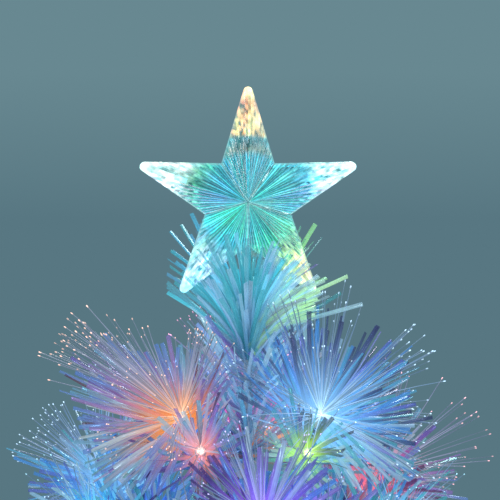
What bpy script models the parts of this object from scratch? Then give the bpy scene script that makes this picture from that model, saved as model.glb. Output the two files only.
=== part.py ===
# A table-top LED Christmas tree with fibre bursts and a lit star, standing on a folding steel stand.
# The origin is on the floor under the trunk, +Z is up, and the star faces -Y. Units are metres.
import math

import bmesh
import bpy
import numpy as np
from mathutils import Matrix, Vector

# Clearances that pieces share
SEAT_GAP = 0.0003
RUNNING_GAP = 0.0004
CUT_OVERRUN = 0.002
WELD_DISTANCE = 0.000001
MILLIMETRE = 0.001

# Stand
STAND_SIDES = 16
LEG_COUNT = 3
FIRST_LEG_TURN = math.radians(90)
HUB_BASE_HEIGHT = 0.040
HUB_LENGTH = 0.080
HUB_FLOOR = 0.003
HUB_WALL = 0.0025
LUG_THICKNESS = 0.0025
LUG_HEIGHT = 0.020
LEG_THICKNESS = 0.004
LEG_DEPTH = 0.014
LEG_TOE_DEPTH = 0.010
LEG_REACH = 0.175
LEG_TOE_LENGTH = 0.022
PIVOT_RADIUS = 0.0025
PIVOT_HEAD_RADIUS = 0.0045
PIVOT_HEAD_THICKNESS = 0.0015
PIVOT_SIDES = 8
FOOT_WALL = 0.0025
FOOT_SOLE = 0.0035
FOOT_LENGTH = 0.020

# Thumb screw that clamps the trunk in the hub
SCREW_TURN = math.radians(-30)
SCREW_RADIUS = 0.0025
SCREW_BELOW_HUB_TOP = 0.020
BOSS_RADIUS = 0.0065
BOSS_LENGTH = 0.007
WING_SPAN = 0.024
WING_THICKNESS = 0.003
WING_HEIGHT = 0.012
WING_NECK_RADIUS = 0.0045
WING_NECK_LENGTH = 0.004
ROUND_SIDES = 12

# Trunk
TRUNK_SIDES = 16
TRUNK_RADIUS = 0.009
POLE_WALL = 0.0012
LOWER_POLE_TOP = 0.385
SPIGOT_DEPTH = 0.045
POLE_ABOVE_TOP_TIER = 0.013
TAPER_HEIGHT = 0.010
LEADER_RADIUS = 0.0025
LEADER_TIP_HEIGHT = 0.002
LEADER_TIP_SHARE = 0.6

# Lead inside the trunk, and the coupling where the supply lead screws on
LEAD_RADIUS = 0.002
INLET_ABOVE_HUB = 0.030
INLET_TURN = math.radians(90)
INLET_HOLE_PLAY = 0.0012
COUPLING_RADIUS = 0.006
COUPLING_LENGTH = 0.018
COUPLING_STANDOFF = 0.003
COUPLING_NUT_RADIUS = 0.0078
COUPLING_NUT_LENGTH = 0.008
COUPLING_NUT_INSET = 0.003
INLET_PIN_RADIUS = 0.0009
INLET_PIN_LENGTH = 0.005
INLET_PIN_SPACING = 0.005

# Tiers of branches
TIER_HEIGHTS = (0.632, 0.556, 0.440, 0.310)
TIER_TURNS = tuple(math.radians(turn) for turn in (-25, 35, -15, 45))
BRANCHES_PER_TIER = 3

# Branch eyes, and the collars and ring wires that they hinge on
RING_WIRE_RADIUS = 0.001
RING_SEGMENTS = 18
RING_WIRE_SIDES = 4
EYE_RADIUS = 0.0038
EYE_PLAY = 0.00055
EYE_THICKNESS = 0.0024
EYE_SIDES = 8
EYE_WELD_SHARE = 0.7
EYE_TO_TRUNK = 0.0012
SLOT_CLEARANCE = 0.0005
COLLAR_SIDES = 12
COLLAR_RIM_COVER = 0.001
COLLAR_CROWN = 0.0035
COLLAR_LIP_CLEARANCE = 0.0006
COLLAR_LIP_WIDTH = 0.0026
COLLAR_BASE_THICKNESS = 0.002

# Branch rods, and the leads that run beside them
ROD_RADIUS = 0.0015
TWIG_WIRE_RADIUS = 0.0012
LEAD_WIRE_RADIUS = 0.001
ROD_RISE = 0.0013
ROOT_OVERHANG = 0.004
STEM_POINTS = 4

# Each tier's main twig, from its hinge, and its side twigs
TIP_REACHES = (0.038, 0.094, 0.142, 0.182)
TIP_RISES = (0.056, 0.078, 0.066, 0.040)
STEM_SAG_SHARE = 0.16
SIDE_ANGLES = tuple(math.radians(angle) for angle in (48, 42, 40, 46))
SIDE_LIFTS = tuple(math.radians(angle) for angle in (-14, -6, -10, -12))
SIDE_LENGTHS = (0.036, 0.056, 0.070, 0.076)
SIDE_FORK_SHARES = (0.42, 0.46, 0.52, 0.60)
INNER_ANGLES = tuple(math.radians(angle) for angle in (0, 0, 56, 58))
INNER_LIFTS = tuple(math.radians(angle) for angle in (0, 0, 14, 12))
INNER_LENGTHS = (0, 0, 0.058, 0.068)
INNER_FORK_SHARES = (0, 0, 0.22, 0.27)
FORK_STAGGER_SHARE = 0.02

# Film strips round the twigs and the leader, as closed sleeves with their outer shape
FILM_WALL = 0.001
FILM_RADII = (0.0150, 0.0190, 0.0180, 0.0175)
FILM_START_SHARES = (0.10, 0.12, 0.10, 0.09)
FILM_BUD_LENGTH = 0.012
FILM_SIDES = 5
BORE_SIDES = 4
BORE_START_LENGTH = 0.003
BORE_START_SHARE = 0.65
LEADER_FILM_RISE = 0.019
LEADER_FILM_LENGTH = 0.067
LEADER_FILM_RADIUS = 0.0135
LEADER_FILM_SIDES = 8
LEADER_FILM_TIERS = 3
LEADER_FILM_FLARE_SHARE = 0.8

# LED holders and their fibre bursts
HOLDER_LENGTH = 0.009
BURST_RADIUS = 0.0038
STRANDS_PER_BURST = 9
STRAND_LENGTH = 0.078
SHORTEST_STRAND = 0.018
STRAND_STEP = 0.006
STRAND_ROOT_SHARE = 0.61
STRAND_END_SHARE = 0.20
STRAND_GAP = 0.0008
STRAND_SAMPLES = 60
LENGTH_WAVE_SHARE = 0.16
LENGTH_WAVE_STEP = 2.4
WIDEST_STRAND_ANGLE = math.radians(85)

# Star topper and its socket
STAR_POINTS = 5
STAR_RADIUS = 0.077
STAR_INNER_SHARE = 0.382
STAR_TIP_ROUNDING = 0.0035
STAR_DOME = 0.017
STAR_RIM = 0.004
STAR_WALL = 0.0016
STAR_RIB = 0.0005
RIBS_PER_ARM = 12
POST_RADIUS = 0.002
POST_SPACING = 0.016
POST_SIDES = 6
BOARD_THICKNESS = 0.0016
BOARD_INSET = 0.027
BOARD_INNER_SHARE = 0.30
BOARD_NOTCH_SHARE = 0.48
LAMP_RADIUS = 0.0025
LAMP_LENGTH = 0.008
LAMP_SIDES = 8
SOCKET_WALL = 0.0016
SOCKET_SIDES = 16
SOCKET_ABOVE_FILM = 0.005
SOCKET_NECK_LENGTH = 0.049586
SOCKET_INSIDE_STAR = 0.0107
SOCKET_CAP = 0.002
SOCKET_REST_THICKNESS = 0.003
SOCKET_REST_RADIUS = 0.0072
SOCKET_CATCH_THICKNESS = 0.0012
SOCKET_CATCH_OVERHANG = 0.0011
SOCKET_FLARE_RADIUS = 0.0070
SOCKET_FLARE_HEIGHT = 0.007

# Places that follow from these sizes
hub_bore = TRUNK_RADIUS + SEAT_GAP
hub_radius = hub_bore + HUB_WALL
hub_top = HUB_BASE_HEIGHT + HUB_LENGTH
pivot_height = HUB_BASE_HEIGHT + LUG_HEIGHT / 2
pivot_reach = hub_radius + LEG_DEPTH / 2 + SEAT_GAP
leg_turns = [FIRST_LEG_TURN + 2 * math.pi * number / LEG_COUNT for number in range(LEG_COUNT)]
lower_bore = TRUNK_RADIUS - POLE_WALL
spigot_radius = lower_bore - SEAT_GAP
upper_bore = spigot_radius - POLE_WALL
trunk_base = HUB_BASE_HEIGHT + HUB_FLOOR + SEAT_GAP
pole_top = TIER_HEIGHTS[0] + POLE_ABOVE_TOP_TIER
ring_radius = TRUNK_RADIUS + EYE_TO_TRUNK + EYE_RADIUS
lip_inner = ring_radius + EYE_RADIUS + COLLAR_LIP_CLEARANCE
lip_outer = lip_inner + COLLAR_LIP_WIDTH
root_length = lip_outer - ring_radius + ROOT_OVERHANG
harness_drop = ROD_RADIUS + SEAT_GAP + LEAD_WIRE_RADIUS - ROD_RISE
film_bore = (ROD_RISE + ROD_RADIUS + RUNNING_GAP) / math.cos(math.pi / BORE_SIDES)
film_neck = (film_bore + FILM_WALL) / math.cos(math.pi / FILM_SIDES)
strand_root_radius = BURST_RADIUS * STRAND_ROOT_SHARE
leader_film_base = pole_top + TAPER_HEIGHT + LEADER_FILM_RISE
leader_film_top = leader_film_base + LEADER_FILM_LENGTH
star_corner = STAR_RADIUS * STAR_INNER_SHARE
board_radius = STAR_RADIUS - BOARD_INSET
socket_bore = LEADER_RADIUS + RUNNING_GAP
socket_radius = socket_bore + SOCKET_WALL
socket_catch_radius = socket_radius + SOCKET_CATCH_OVERHANG
socket_base = leader_film_top + SOCKET_ABOVE_FILM
star_height = socket_base + SOCKET_NECK_LENGTH + star_corner
socket_top = star_height - star_corner + SOCKET_INSIDE_STAR
leader_top = socket_top - SOCKET_CAP - SEAT_GAP

part_collection = bpy.data.collections.new("led_christmas_tree")
cutter_collection = bpy.data.collections.new("cutters")


def clear_scene():
    for old in list(bpy.data.objects):
        bpy.data.objects.remove(old, do_unlink=True)
    bpy.context.scene.collection.children.link(part_collection)
    bpy.context.scene.collection.children.link(cutter_collection)


def make_material(name, colour, roughness, metallic=0.0, alpha=1.0):
    material = bpy.data.materials.new(name)
    material.use_nodes = True
    shader = material.node_tree.nodes["Principled BSDF"]
    shader.inputs["Base Color"].default_value = (*colour, 1.0)
    shader.inputs["Roughness"].default_value = roughness
    shader.inputs["Metallic"].default_value = metallic
    shader.inputs["Alpha"].default_value = alpha
    return material


def object_of(name, mesh, material=None, collection=None):
    made = bpy.data.objects.new(name, mesh)
    (collection or part_collection).objects.link(made)
    if material is not None:
        mesh.materials.clear()
        mesh.materials.append(material)
    return made


def mesh_from_bmesh(name, shape):
    bmesh.ops.recalc_face_normals(shape, faces=shape.faces)
    mesh = bpy.data.meshes.new(name)
    shape.to_mesh(mesh)
    shape.free()
    return mesh


def baked_mesh(source):
    """The object's evaluated mesh with its own placing applied, and the object removed."""
    bpy.context.view_layer.update()
    graph = bpy.context.evaluated_depsgraph_get()
    mesh = bpy.data.meshes.new_from_object(source.evaluated_get(graph))
    mesh.transform(source.matrix_world)
    shape = bmesh.new()
    shape.from_mesh(mesh)
    bmesh.ops.remove_doubles(shape, verts=shape.verts, dist=WELD_DISTANCE)
    shape.to_mesh(mesh)
    shape.free()
    bpy.data.objects.remove(source, do_unlink=True)
    return mesh


def combined(name, first, others, operation):
    """One mesh from a first mesh and other meshes joined to it or cut from it."""
    base = object_of(name, first, collection=cutter_collection)
    operands = bpy.data.collections.new(f"{name}_{operation.lower()}")
    cutter_collection.children.link(operands)
    helpers = []
    for number, other in enumerate(others):
        helper = object_of(f"{name}_{operation.lower()}_{number}", other, collection=operands)
        helper.hide_render = True
        helper.display_type = "WIRE"
        helpers.append(helper)
    step = base.modifiers.new(operation.lower(), "BOOLEAN")
    step.operation = operation
    step.solver = "EXACT"
    step.operand_type = "COLLECTION"
    step.collection = operands
    mesh = baked_mesh(base)
    for helper in helpers:
        bpy.data.objects.remove(helper, do_unlink=True)
    bpy.data.collections.remove(operands)
    return mesh


def joined(name, pieces):
    return combined(name, pieces[0], pieces[1:], "UNION")


def cut(name, body, cutters):
    return combined(name, body, cutters, "DIFFERENCE")


def along(axis):
    """A rotation that carries +Z to the given axis."""
    return Vector(axis).to_track_quat("Z", "Y").to_matrix().to_4x4()


def cylinder_mesh(name, start, end, radius, sides, end_radius=None):
    start, end = Vector(start), Vector(end)
    shape = bmesh.new()
    bmesh.ops.create_cone(
        shape,
        cap_ends=True,
        segments=sides,
        radius1=radius,
        radius2=radius if end_radius is None else end_radius,
        depth=(end - start).length,
        matrix=Matrix.Translation((start + end) / 2) @ along(end - start),
    )
    return mesh_from_bmesh(name, shape)


def box_mesh(name, low, high):
    low, high = Vector(low), Vector(high)
    shape = bmesh.new()
    bmesh.ops.create_cube(
        shape,
        size=1,
        matrix=Matrix.Translation((low + high) / 2) @ Matrix.Diagonal((*(high - low), 1)),
    )
    return mesh_from_bmesh(name, shape)


def turned_mesh(name, profile, sides, closed):
    """A profile of (radius, height) points screwed round +Z. A closed profile makes a ring."""
    shape = bmesh.new()
    points = [shape.verts.new((radius, 0, height)) for radius, height in profile]
    for first, second in zip(points, points[1:] + points[:1] if closed else points[1:]):
        if first.co.x or second.co.x:
            shape.edges.new((first, second))
    mesh = bpy.data.meshes.new(name)
    shape.to_mesh(mesh)
    shape.free()
    turned = object_of(name, mesh, collection=cutter_collection)
    screw = turned.modifiers.new("turn", "SCREW")
    screw.steps = screw.render_steps = sides
    screw.use_merge_vertices = True
    screw.merge_threshold = WELD_DISTANCE
    screw.use_normal_calculate = True
    made = baked_mesh(turned)
    shape = bmesh.new()
    shape.from_mesh(made)
    return mesh_from_bmesh(name, shape)


def tube_mesh(name, points, radius, resolution, start_share=1.0):
    """A tube through the points, as a curve with a bevel and filled caps. It can start narrow."""
    curve = bpy.data.curves.new(name, "CURVE")
    curve.dimensions = "3D"
    curve.bevel_depth = radius
    curve.bevel_resolution = resolution
    curve.use_fill_caps = True
    spline = curve.splines.new("POLY")
    spline.points.add(len(points) - 1)
    for control, place in zip(spline.points, points):
        control.co = (*place, 1)
    spline.points[0].radius = start_share
    return baked_mesh(object_of(name, curve, collection=cutter_collection))


def outline_mesh(name, points, thickness, matrix):
    """A flat outline of (x, y) points, extruded to its thickness about its own plane and then placed."""
    curve = bpy.data.curves.new(name, "CURVE")
    curve.dimensions = "2D"
    curve.fill_mode = "BOTH"
    curve.extrude = thickness / 2
    spline = curve.splines.new("POLY")
    spline.points.add(len(points) - 1)
    for control, (x, y) in zip(spline.points, points):
        control.co = (x, y, 0, 1)
    spline.use_cyclic_u = True
    flat = object_of(name, curve, collection=cutter_collection)
    flat.matrix_world = matrix
    return baked_mesh(flat)


def corner_radius(radius, sides):
    """The corner radius of a bore whose flat sides clear the given radius."""
    return radius / math.cos(math.pi / sides)


def add_part(name, mesh, material, place=None, smooth_angle=math.radians(40)):
    part = object_of(name, mesh, material)
    mesh.shade_smooth()
    mesh.set_sharp_from_angle(angle=smooth_angle)
    if place is not None:
        part.matrix_world = place
    return part


def place_empty(name, matrix):
    empty = bpy.data.objects.new(name, None)
    part_collection.objects.link(empty)
    empty.matrix_world = matrix
    return empty


def parent_at(part, empty):
    """The part's mesh is already in the empty's own frame."""
    part.parent = empty
    part.matrix_parent_inverse = Matrix.Identity(4)
    part.matrix_local = Matrix.Identity(4)


clear_scene()
steel = make_material("painted_steel", (0.78, 0.80, 0.82), 0.45, 0.3)
rubber = make_material("foot_rubber", (0.06, 0.06, 0.07), 0.85)
collar_plastic = make_material("collar_plastic", (0.80, 0.83, 0.85), 0.5)
lead_plastic = make_material("lead_plastic", (0.82, 0.85, 0.86), 0.4)
film = make_material("iridescent_film", (0.36, 0.62, 0.78), 0.18, 0.1, 0.8)
fibre = make_material("optical_fibre", (0.78, 0.90, 1.0), 0.15)
star_plastic = make_material("star_plastic", (0.50, 0.86, 0.88), 0.08, 0.0, 0.6)
board_material = make_material("light_board", (0.85, 0.87, 0.88), 0.5)


# The stand's hub is a steel socket with a floor, three pairs of lugs and their riveted pins,
# and a boss for the thumb screw. Each leg hangs on its pin between two lugs.
def lug_outline():
    """A lug's side view: a plate off the hub with a round end about the pivot."""
    radius = LUG_HEIGHT / 2
    steps = 6
    arc = [
        (
            pivot_reach + radius * math.sin(math.pi * step / steps),
            pivot_height - radius * math.cos(math.pi * step / steps),
        )
        for step in range(steps + 1)
    ]
    root = hub_bore + HUB_WALL / 2
    return [(root, pivot_height - radius), *arc, (root, pivot_height + radius)]


def make_hub():
    profile = [
        (hub_bore, hub_top),
        (hub_radius, hub_top),
        (hub_radius, HUB_BASE_HEIGHT),
        (0, HUB_BASE_HEIGHT),
        (0, HUB_BASE_HEIGHT + HUB_FLOOR),
        (hub_bore, HUB_BASE_HEIGHT + HUB_FLOOR),
    ]
    body = turned_mesh("hub_body", profile, STAND_SIDES, True)
    pieces = []
    lug_offset = LEG_THICKNESS / 2 + RUNNING_GAP + LUG_THICKNESS / 2
    pin_half = lug_offset + LUG_THICKNESS / 2
    for turn in leg_turns:
        spin = Matrix.Rotation(turn, 4, "Z")
        upright = Matrix.Rotation(math.pi / 2, 4, "X")
        for side in (-1, 1):
            shift = Matrix.Translation((0, side * lug_offset, 0))
            pieces.append(outline_mesh("lug", lug_outline(), LUG_THICKNESS, spin @ shift @ upright))
            outer = side * (pin_half + PIVOT_HEAD_THICKNESS)
            inner = side * (pin_half - LUG_THICKNESS / 2)
            head = cylinder_mesh(
                "rivet_head",
                spin @ Vector((pivot_reach, inner, pivot_height)),
                spin @ Vector((pivot_reach, outer, pivot_height)),
                PIVOT_HEAD_RADIUS,
                PIVOT_SIDES,
            )
            pieces.append(head)
        pin = cylinder_mesh(
            "rivet",
            spin @ Vector((pivot_reach, -pin_half, pivot_height)),
            spin @ Vector((pivot_reach, pin_half, pivot_height)),
            PIVOT_RADIUS,
            PIVOT_SIDES,
        )
        pieces.append(pin)
    outward = Vector((math.cos(SCREW_TURN), math.sin(SCREW_TURN), 0))
    centre = Vector((0, 0, hub_top - SCREW_BELOW_HUB_TOP))
    boss = cylinder_mesh(
        "boss",
        centre + outward * (hub_bore + HUB_WALL / 2),
        centre + outward * (hub_radius + BOSS_LENGTH),
        BOSS_RADIUS,
        ROUND_SIDES,
    )
    solid = joined("hub_joined", [body, boss, *pieces])
    thread = cylinder_mesh(
        "thread",
        centre,
        centre + outward * (hub_radius + BOSS_LENGTH + CUT_OVERRUN),
        SCREW_RADIUS + RUNNING_GAP,
        PIVOT_SIDES,
    )
    return add_part("stand_hub", cut("stand_hub", solid, [thread]), steel)


make_hub()


# A leg is a flat steel bar that slopes down from its pin and ends in a level toe.
# A moulded rubber foot is pushed over the toe and carries the tree.
def leg_outline():
    """The leg's side view in its pivot's frame: x outward, y up. Its square heel bears on the hub,
    and its lower corner is round so that it folds down."""
    half = LEG_DEPTH / 2
    floor = FOOT_SOLE + SEAT_GAP - pivot_height
    toe_top = floor + LEG_TOE_DEPTH
    reach = LEG_REACH - pivot_reach
    bend = reach - LEG_TOE_LENGTH
    steps = 4
    heel = [
        (
            -half * math.cos(math.pi / 2 * step / steps),
            -half * math.sin(math.pi / 2 * step / steps),
        )
        for step in range(steps + 1)
    ]
    return [(0, half), (-half, half), *heel, (bend, floor), (reach, floor), (reach, toe_top), (bend, toe_top)]


def make_leg(number, turn):
    hinge = place_empty(
        f"leg_{number}_hinge",
        Matrix.Rotation(turn, 4, "Z") @ Matrix.Translation((pivot_reach, 0, pivot_height)),
    )
    upright = Matrix.Rotation(math.pi / 2, 4, "X")
    bar = outline_mesh("leg", leg_outline(), LEG_THICKNESS, upright)
    eye = cylinder_mesh(
        "leg_eye",
        (0, -LEG_THICKNESS, 0),
        (0, LEG_THICKNESS, 0),
        PIVOT_RADIUS + RUNNING_GAP,
        PIVOT_SIDES,
    )
    parent_at(add_part(f"leg_{number}", cut("leg", bar, [eye]), steel), hinge)

    reach = LEG_REACH - pivot_reach
    floor = FOOT_SOLE + SEAT_GAP - pivot_height
    half = LEG_THICKNESS / 2 + SEAT_GAP
    low_x = reach - FOOT_LENGTH + FOOT_WALL
    shell = box_mesh(
        "foot",
        (low_x, -half - FOOT_WALL, -pivot_height),
        (reach + SEAT_GAP + FOOT_WALL, half + FOOT_WALL, floor + LEG_TOE_DEPTH + SEAT_GAP + FOOT_WALL),
    )
    pocket = box_mesh(
        "foot_pocket",
        (low_x - CUT_OVERRUN, -half, floor - SEAT_GAP),
        (reach + SEAT_GAP, half, floor + LEG_TOE_DEPTH + SEAT_GAP),
    )
    parent_at(add_part(f"foot_{number}", cut("foot", shell, [pocket]), rubber), hinge)


for leg_number, leg_turn in enumerate(leg_turns, start=1):
    make_leg(leg_number, leg_turn)


# The thumb screw runs in the hub's boss and bears on the trunk.
def make_thumb_screw():
    outward = Matrix.Rotation(SCREW_TURN, 4, "Z") @ Matrix.Rotation(math.pi / 2, 4, "Y")
    tip = TRUNK_RADIUS + SEAT_GAP
    neck = hub_radius + BOSS_LENGTH + RUNNING_GAP
    low = neck + WING_NECK_LENGTH / 2
    shank = cylinder_mesh("shank", (0, 0, tip), (0, 0, low), SCREW_RADIUS, PIVOT_SIDES)
    neck_top = neck + WING_NECK_LENGTH
    collar = cylinder_mesh("neck", (0, 0, neck), (0, 0, neck_top), WING_NECK_RADIUS, PIVOT_SIDES)
    wing = [
        (-WING_NECK_RADIUS / 2, low),
        (WING_NECK_RADIUS / 2, low),
        (WING_SPAN / 2, low + WING_HEIGHT / 2),
        (WING_SPAN / 2 - WING_THICKNESS, low + WING_HEIGHT),
        (0, low + WING_HEIGHT / 3),
        (WING_THICKNESS - WING_SPAN / 2, low + WING_HEIGHT),
        (-WING_SPAN / 2, low + WING_HEIGHT / 2),
    ]
    plate = outline_mesh("wing", wing, WING_THICKNESS, Matrix.Rotation(math.pi / 2, 4, "X"))
    screw = joined("thumb_screw", [collar, shank, plate])
    place = Matrix.Translation((0, 0, hub_top - SCREW_BELOW_HUB_TOP)) @ outward
    add_part("thumb_screw", screw, steel, place)


make_thumb_screw()


# The trunk is two steel tubes. The upper one is necked down to plug into the lower one,
# and it is closed by a cone that carries the thin leader rod.
def make_poles():
    tube = [
        (lower_bore, LOWER_POLE_TOP),
        (TRUNK_RADIUS, LOWER_POLE_TOP),
        (TRUNK_RADIUS, trunk_base),
        (lower_bore, trunk_base),
    ]
    inlet = Vector((math.cos(INLET_TURN), math.sin(INLET_TURN), 0))
    level = Vector((0, 0, hub_top + INLET_ABOVE_HUB))
    hole = cylinder_mesh(
        "inlet_hole",
        level + inlet * lower_bore / 2,
        level + inlet * (TRUNK_RADIUS + CUT_OVERRUN),
        LEAD_RADIUS + INLET_HOLE_PLAY,
        PIVOT_SIDES,
    )
    lower = cut("pole_lower", turned_mesh("pole", tube, TRUNK_SIDES, True), [hole])
    add_part("pole_lower", lower, steel)

    spigot_base = LOWER_POLE_TOP - SPIGOT_DEPTH
    shoulder = LOWER_POLE_TOP + SEAT_GAP
    upper = [
        (0, leader_top),
        (LEADER_RADIUS * LEADER_TIP_SHARE, leader_top),
        (LEADER_RADIUS, leader_top - LEADER_TIP_HEIGHT),
        (LEADER_RADIUS, pole_top + TAPER_HEIGHT),
        (TRUNK_RADIUS, pole_top),
        (TRUNK_RADIUS, shoulder),
        (spigot_radius, shoulder),
        (spigot_radius, spigot_base),
        (upper_bore, spigot_base),
        (upper_bore, pole_top),
        (0, pole_top),
    ]
    add_part("pole_upper", turned_mesh("pole_upper", upper, TRUNK_SIDES, True), steel)


make_poles()


# The lead runs up inside the trunk from the screw coupling at the back of the lower pole.
def make_trunk_lead():
    inlet = Vector((math.cos(INLET_TURN), math.sin(INLET_TURN), 0))
    level = Vector((0, 0, hub_top + INLET_ABOVE_HUB))
    line = inlet * (upper_bore - LEAD_RADIUS - SEAT_GAP)
    riser = tube_mesh("riser", [line + level, line + Vector((0, 0, TIER_HEIGHTS[0]))], LEAD_RADIUS, 1)
    base = TRUNK_RADIUS + COUPLING_STANDOFF
    end = base + COUPLING_LENGTH
    spur = tube_mesh("spur", [line + level, inlet * (base + COUPLING_LENGTH / 2) + level], LEAD_RADIUS, 1)
    body = cylinder_mesh("coupling", inlet * base + level, inlet * end + level, COUPLING_RADIUS, ROUND_SIDES)
    nut_start = end - COUPLING_NUT_INSET - COUPLING_NUT_LENGTH
    nut = cylinder_mesh(
        "coupling_nut",
        inlet * nut_start + level,
        inlet * (nut_start + COUPLING_NUT_LENGTH) + level,
        COUPLING_NUT_RADIUS,
        ROUND_SIDES,
    )
    aside = Vector((-inlet.y, inlet.x, 0)) * INLET_PIN_SPACING / 2
    pins = [
        cylinder_mesh(
            "inlet_pin",
            inlet * (end - CUT_OVERRUN) + level + aside * side,
            inlet * (end + INLET_PIN_LENGTH) + level + aside * side,
            INLET_PIN_RADIUS,
            PIVOT_SIDES,
        )
        for side in (-1, 1)
    ]
    add_part("trunk_lead", joined("trunk_lead", [body, nut, spur, riser, *pins]), lead_plastic)


make_trunk_lead()


# Each collar is a notched plastic ring pressed on the trunk. A ring wire lies in its groove,
# and three branch eyes hinge on the wire in its notches. The outer lip stops the rods.
def tier_matrix(tier, branch):
    turn = TIER_TURNS[tier] + 2 * math.pi * branch / BRANCHES_PER_TIER
    spin = Matrix.Rotation(turn, 4, "Z")
    return spin @ Matrix.Translation((ring_radius, 0, TIER_HEIGHTS[tier]))


def make_collar(tier):
    bore = corner_radius(TRUNK_RADIUS + SEAT_GAP, COLLAR_SIDES)
    groove_half = RING_WIRE_RADIUS + SEAT_GAP
    groove_floor = ring_radius - groove_half
    rim = ring_radius + RING_WIRE_RADIUS + COLLAR_RIM_COVER
    top = groove_half + COLLAR_CROWN
    trough = -EYE_RADIUS - 2 * SEAT_GAP
    base = trough - COLLAR_BASE_THICKNESS
    lip_top = -ROD_RADIUS - SEAT_GAP
    profile = [
        (bore, top),
        (rim, top),
        (rim, groove_half),
        (groove_floor, groove_half),
        (groove_floor, -groove_half),
        (rim, -groove_half),
        (rim, trough),
        (lip_inner, trough),
        (lip_inner, lip_top),
        (lip_outer, lip_top),
        (lip_outer, base),
        (bore, base),
    ]
    body = turned_mesh("collar", profile, COLLAR_SIDES, True)
    slot_half = EYE_THICKNESS / 2 + SLOT_CLEARANCE
    slot_end = (ring_radius + EYE_RADIUS + lip_inner) / 2
    slots = []
    for branch in range(BRANCHES_PER_TIER):
        slot = box_mesh(
            "slot",
            (bore - CUT_OVERRUN, -slot_half, -EYE_RADIUS - SEAT_GAP),
            (slot_end, slot_half, top + CUT_OVERRUN),
        )
        slot.transform(Matrix.Rotation(2 * math.pi * branch / BRANCHES_PER_TIER, 4, "Z"))
        slots.append(slot)
    place = Matrix.Translation((0, 0, TIER_HEIGHTS[tier])) @ Matrix.Rotation(TIER_TURNS[tier], 4, "Z")
    add_part(f"collar_{tier + 1}", cut("collar", body, slots), collar_plastic, place)


def make_ring_wire(tier):
    section = [
        (
            ring_radius + RING_WIRE_RADIUS * math.cos(2 * math.pi * side / RING_WIRE_SIDES),
            RING_WIRE_RADIUS * math.sin(2 * math.pi * side / RING_WIRE_SIDES),
        )
        for side in range(RING_WIRE_SIDES)
    ]
    ring = turned_mesh("ring_wire", section, RING_SEGMENTS, True)
    place = Matrix.Translation((0, 0, TIER_HEIGHTS[tier])) @ Matrix.Rotation(TIER_TURNS[tier], 4, "Z")
    add_part(f"ring_wire_{tier + 1}", ring, steel, place)


for tier_number in range(len(TIER_HEIGHTS)):
    make_collar(tier_number)
    make_ring_wire(tier_number)


# A branch is laid out in its hinge's frame: x outward, y along the ring wire, z up.
class Twig:
    """One run of a branch, with its points and where its film and its LED holder lie."""

    def __init__(self, points, is_stem):
        self.points = [Vector(point) for point in points]
        self.is_stem = is_stem

    @property
    def tip(self):
        return self.points[-1]

    @property
    def heading(self):
        return (self.points[-1] - self.points[-2]).normalized()


def stem_bends(tier):
    """The bends of a sagging stem, from the end of its level root to its tip."""
    start = Vector((root_length, 0, 0))
    end = Vector((TIP_REACHES[tier], 0, TIP_RISES[tier]))
    middle = (start + end) / 2 - Vector((0, 0, STEM_SAG_SHARE * (end - start).length))
    bends = []
    for step in range(STEM_POINTS):
        share = step / (STEM_POINTS - 1)
        bends.append(start.lerp(middle, share).lerp(middle.lerp(end, share), share))
    return bends


def stem_run(tier, share):
    """The straight run of the stem that holds this share of it, and how far along the run it is."""
    bends = stem_bends(tier)
    place = share * (STEM_POINTS - 1)
    run = min(int(place), STEM_POINTS - 2)
    return bends[run], bends[run + 1], place - run


def stem_point(tier, share):
    start, end, part_way = stem_run(tier, share)
    return start.lerp(end, part_way)


def stem_heading(tier, share):
    start, end, _ = stem_run(tier, share)
    return (end - start).normalized()


def side_twig(tier, fork, angle, lift, length, side):
    """A twig that leaves the stem sideways and a little up or down. The two sides' forks alternate."""
    fork += side * FORK_STAGGER_SHARE
    ahead = stem_heading(tier, fork)
    across = Vector((0, side, 0))
    upward = across.cross(ahead) * side
    if upward.z < 0:
        upward.negate()
    heading = ahead * math.cos(angle) + across * math.sin(angle)
    heading = (heading * math.cos(lift) + upward * math.sin(lift)).normalized()
    start = stem_point(tier, fork)
    return Twig([start, start + heading * length], False)


def branch_twigs(tier):
    twigs = [Twig([Vector((0, 0, 0)), *stem_bends(tier)], True)]
    for side in (-1, 1):
        twigs.append(
            side_twig(
                tier,
                SIDE_FORK_SHARES[tier],
                SIDE_ANGLES[tier],
                SIDE_LIFTS[tier],
                SIDE_LENGTHS[tier],
                side,
            )
        )
        if INNER_LENGTHS[tier]:
            twigs.append(
                side_twig(
                    tier,
                    INNER_FORK_SHARES[tier],
                    INNER_ANGLES[tier],
                    INNER_LIFTS[tier],
                    INNER_LENGTHS[tier],
                    side,
                )
            )
    return twigs


def lift_direction(tier):
    """Square to the stem in its own plane: the rod lies above the centre line, the lead below it."""
    line = Vector((TIP_REACHES[tier], 0, TIP_RISES[tier])).normalized()
    return Vector((-line.z, 0, line.x))


# The rod is steel wire with a flattened, punched eye, and its twigs are welded on.
def rod_mesh(tier, twigs):
    lift = lift_direction(tier) * ROD_RISE
    pieces = []
    for twig in twigs:
        stop = twig.tip - twig.heading * (HOLDER_LENGTH + SEAT_GAP)
        if twig.is_stem:
            root = Vector((EYE_RADIUS * EYE_WELD_SHARE, 0, 0))
            path = [root, *[point + lift for point in twig.points[1:-1]], stop + lift]
            pieces.append(tube_mesh("stem", path, ROD_RADIUS, 1))
        else:
            path = [twig.points[0] + lift, stop + lift]
            pieces.append(tube_mesh("twig", path, TWIG_WIRE_RADIUS, 0))
    half = Vector((0, EYE_THICKNESS / 2, 0))
    eye = cylinder_mesh("eye", -half, half, EYE_RADIUS, EYE_SIDES)
    solid = joined("rod", [eye, *pieces])
    hole = cylinder_mesh("eye_hole", -half * 2, half * 2, RING_WIRE_RADIUS + EYE_PLAY, EYE_SIDES)
    return cut("rod", solid, [hole])


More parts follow.
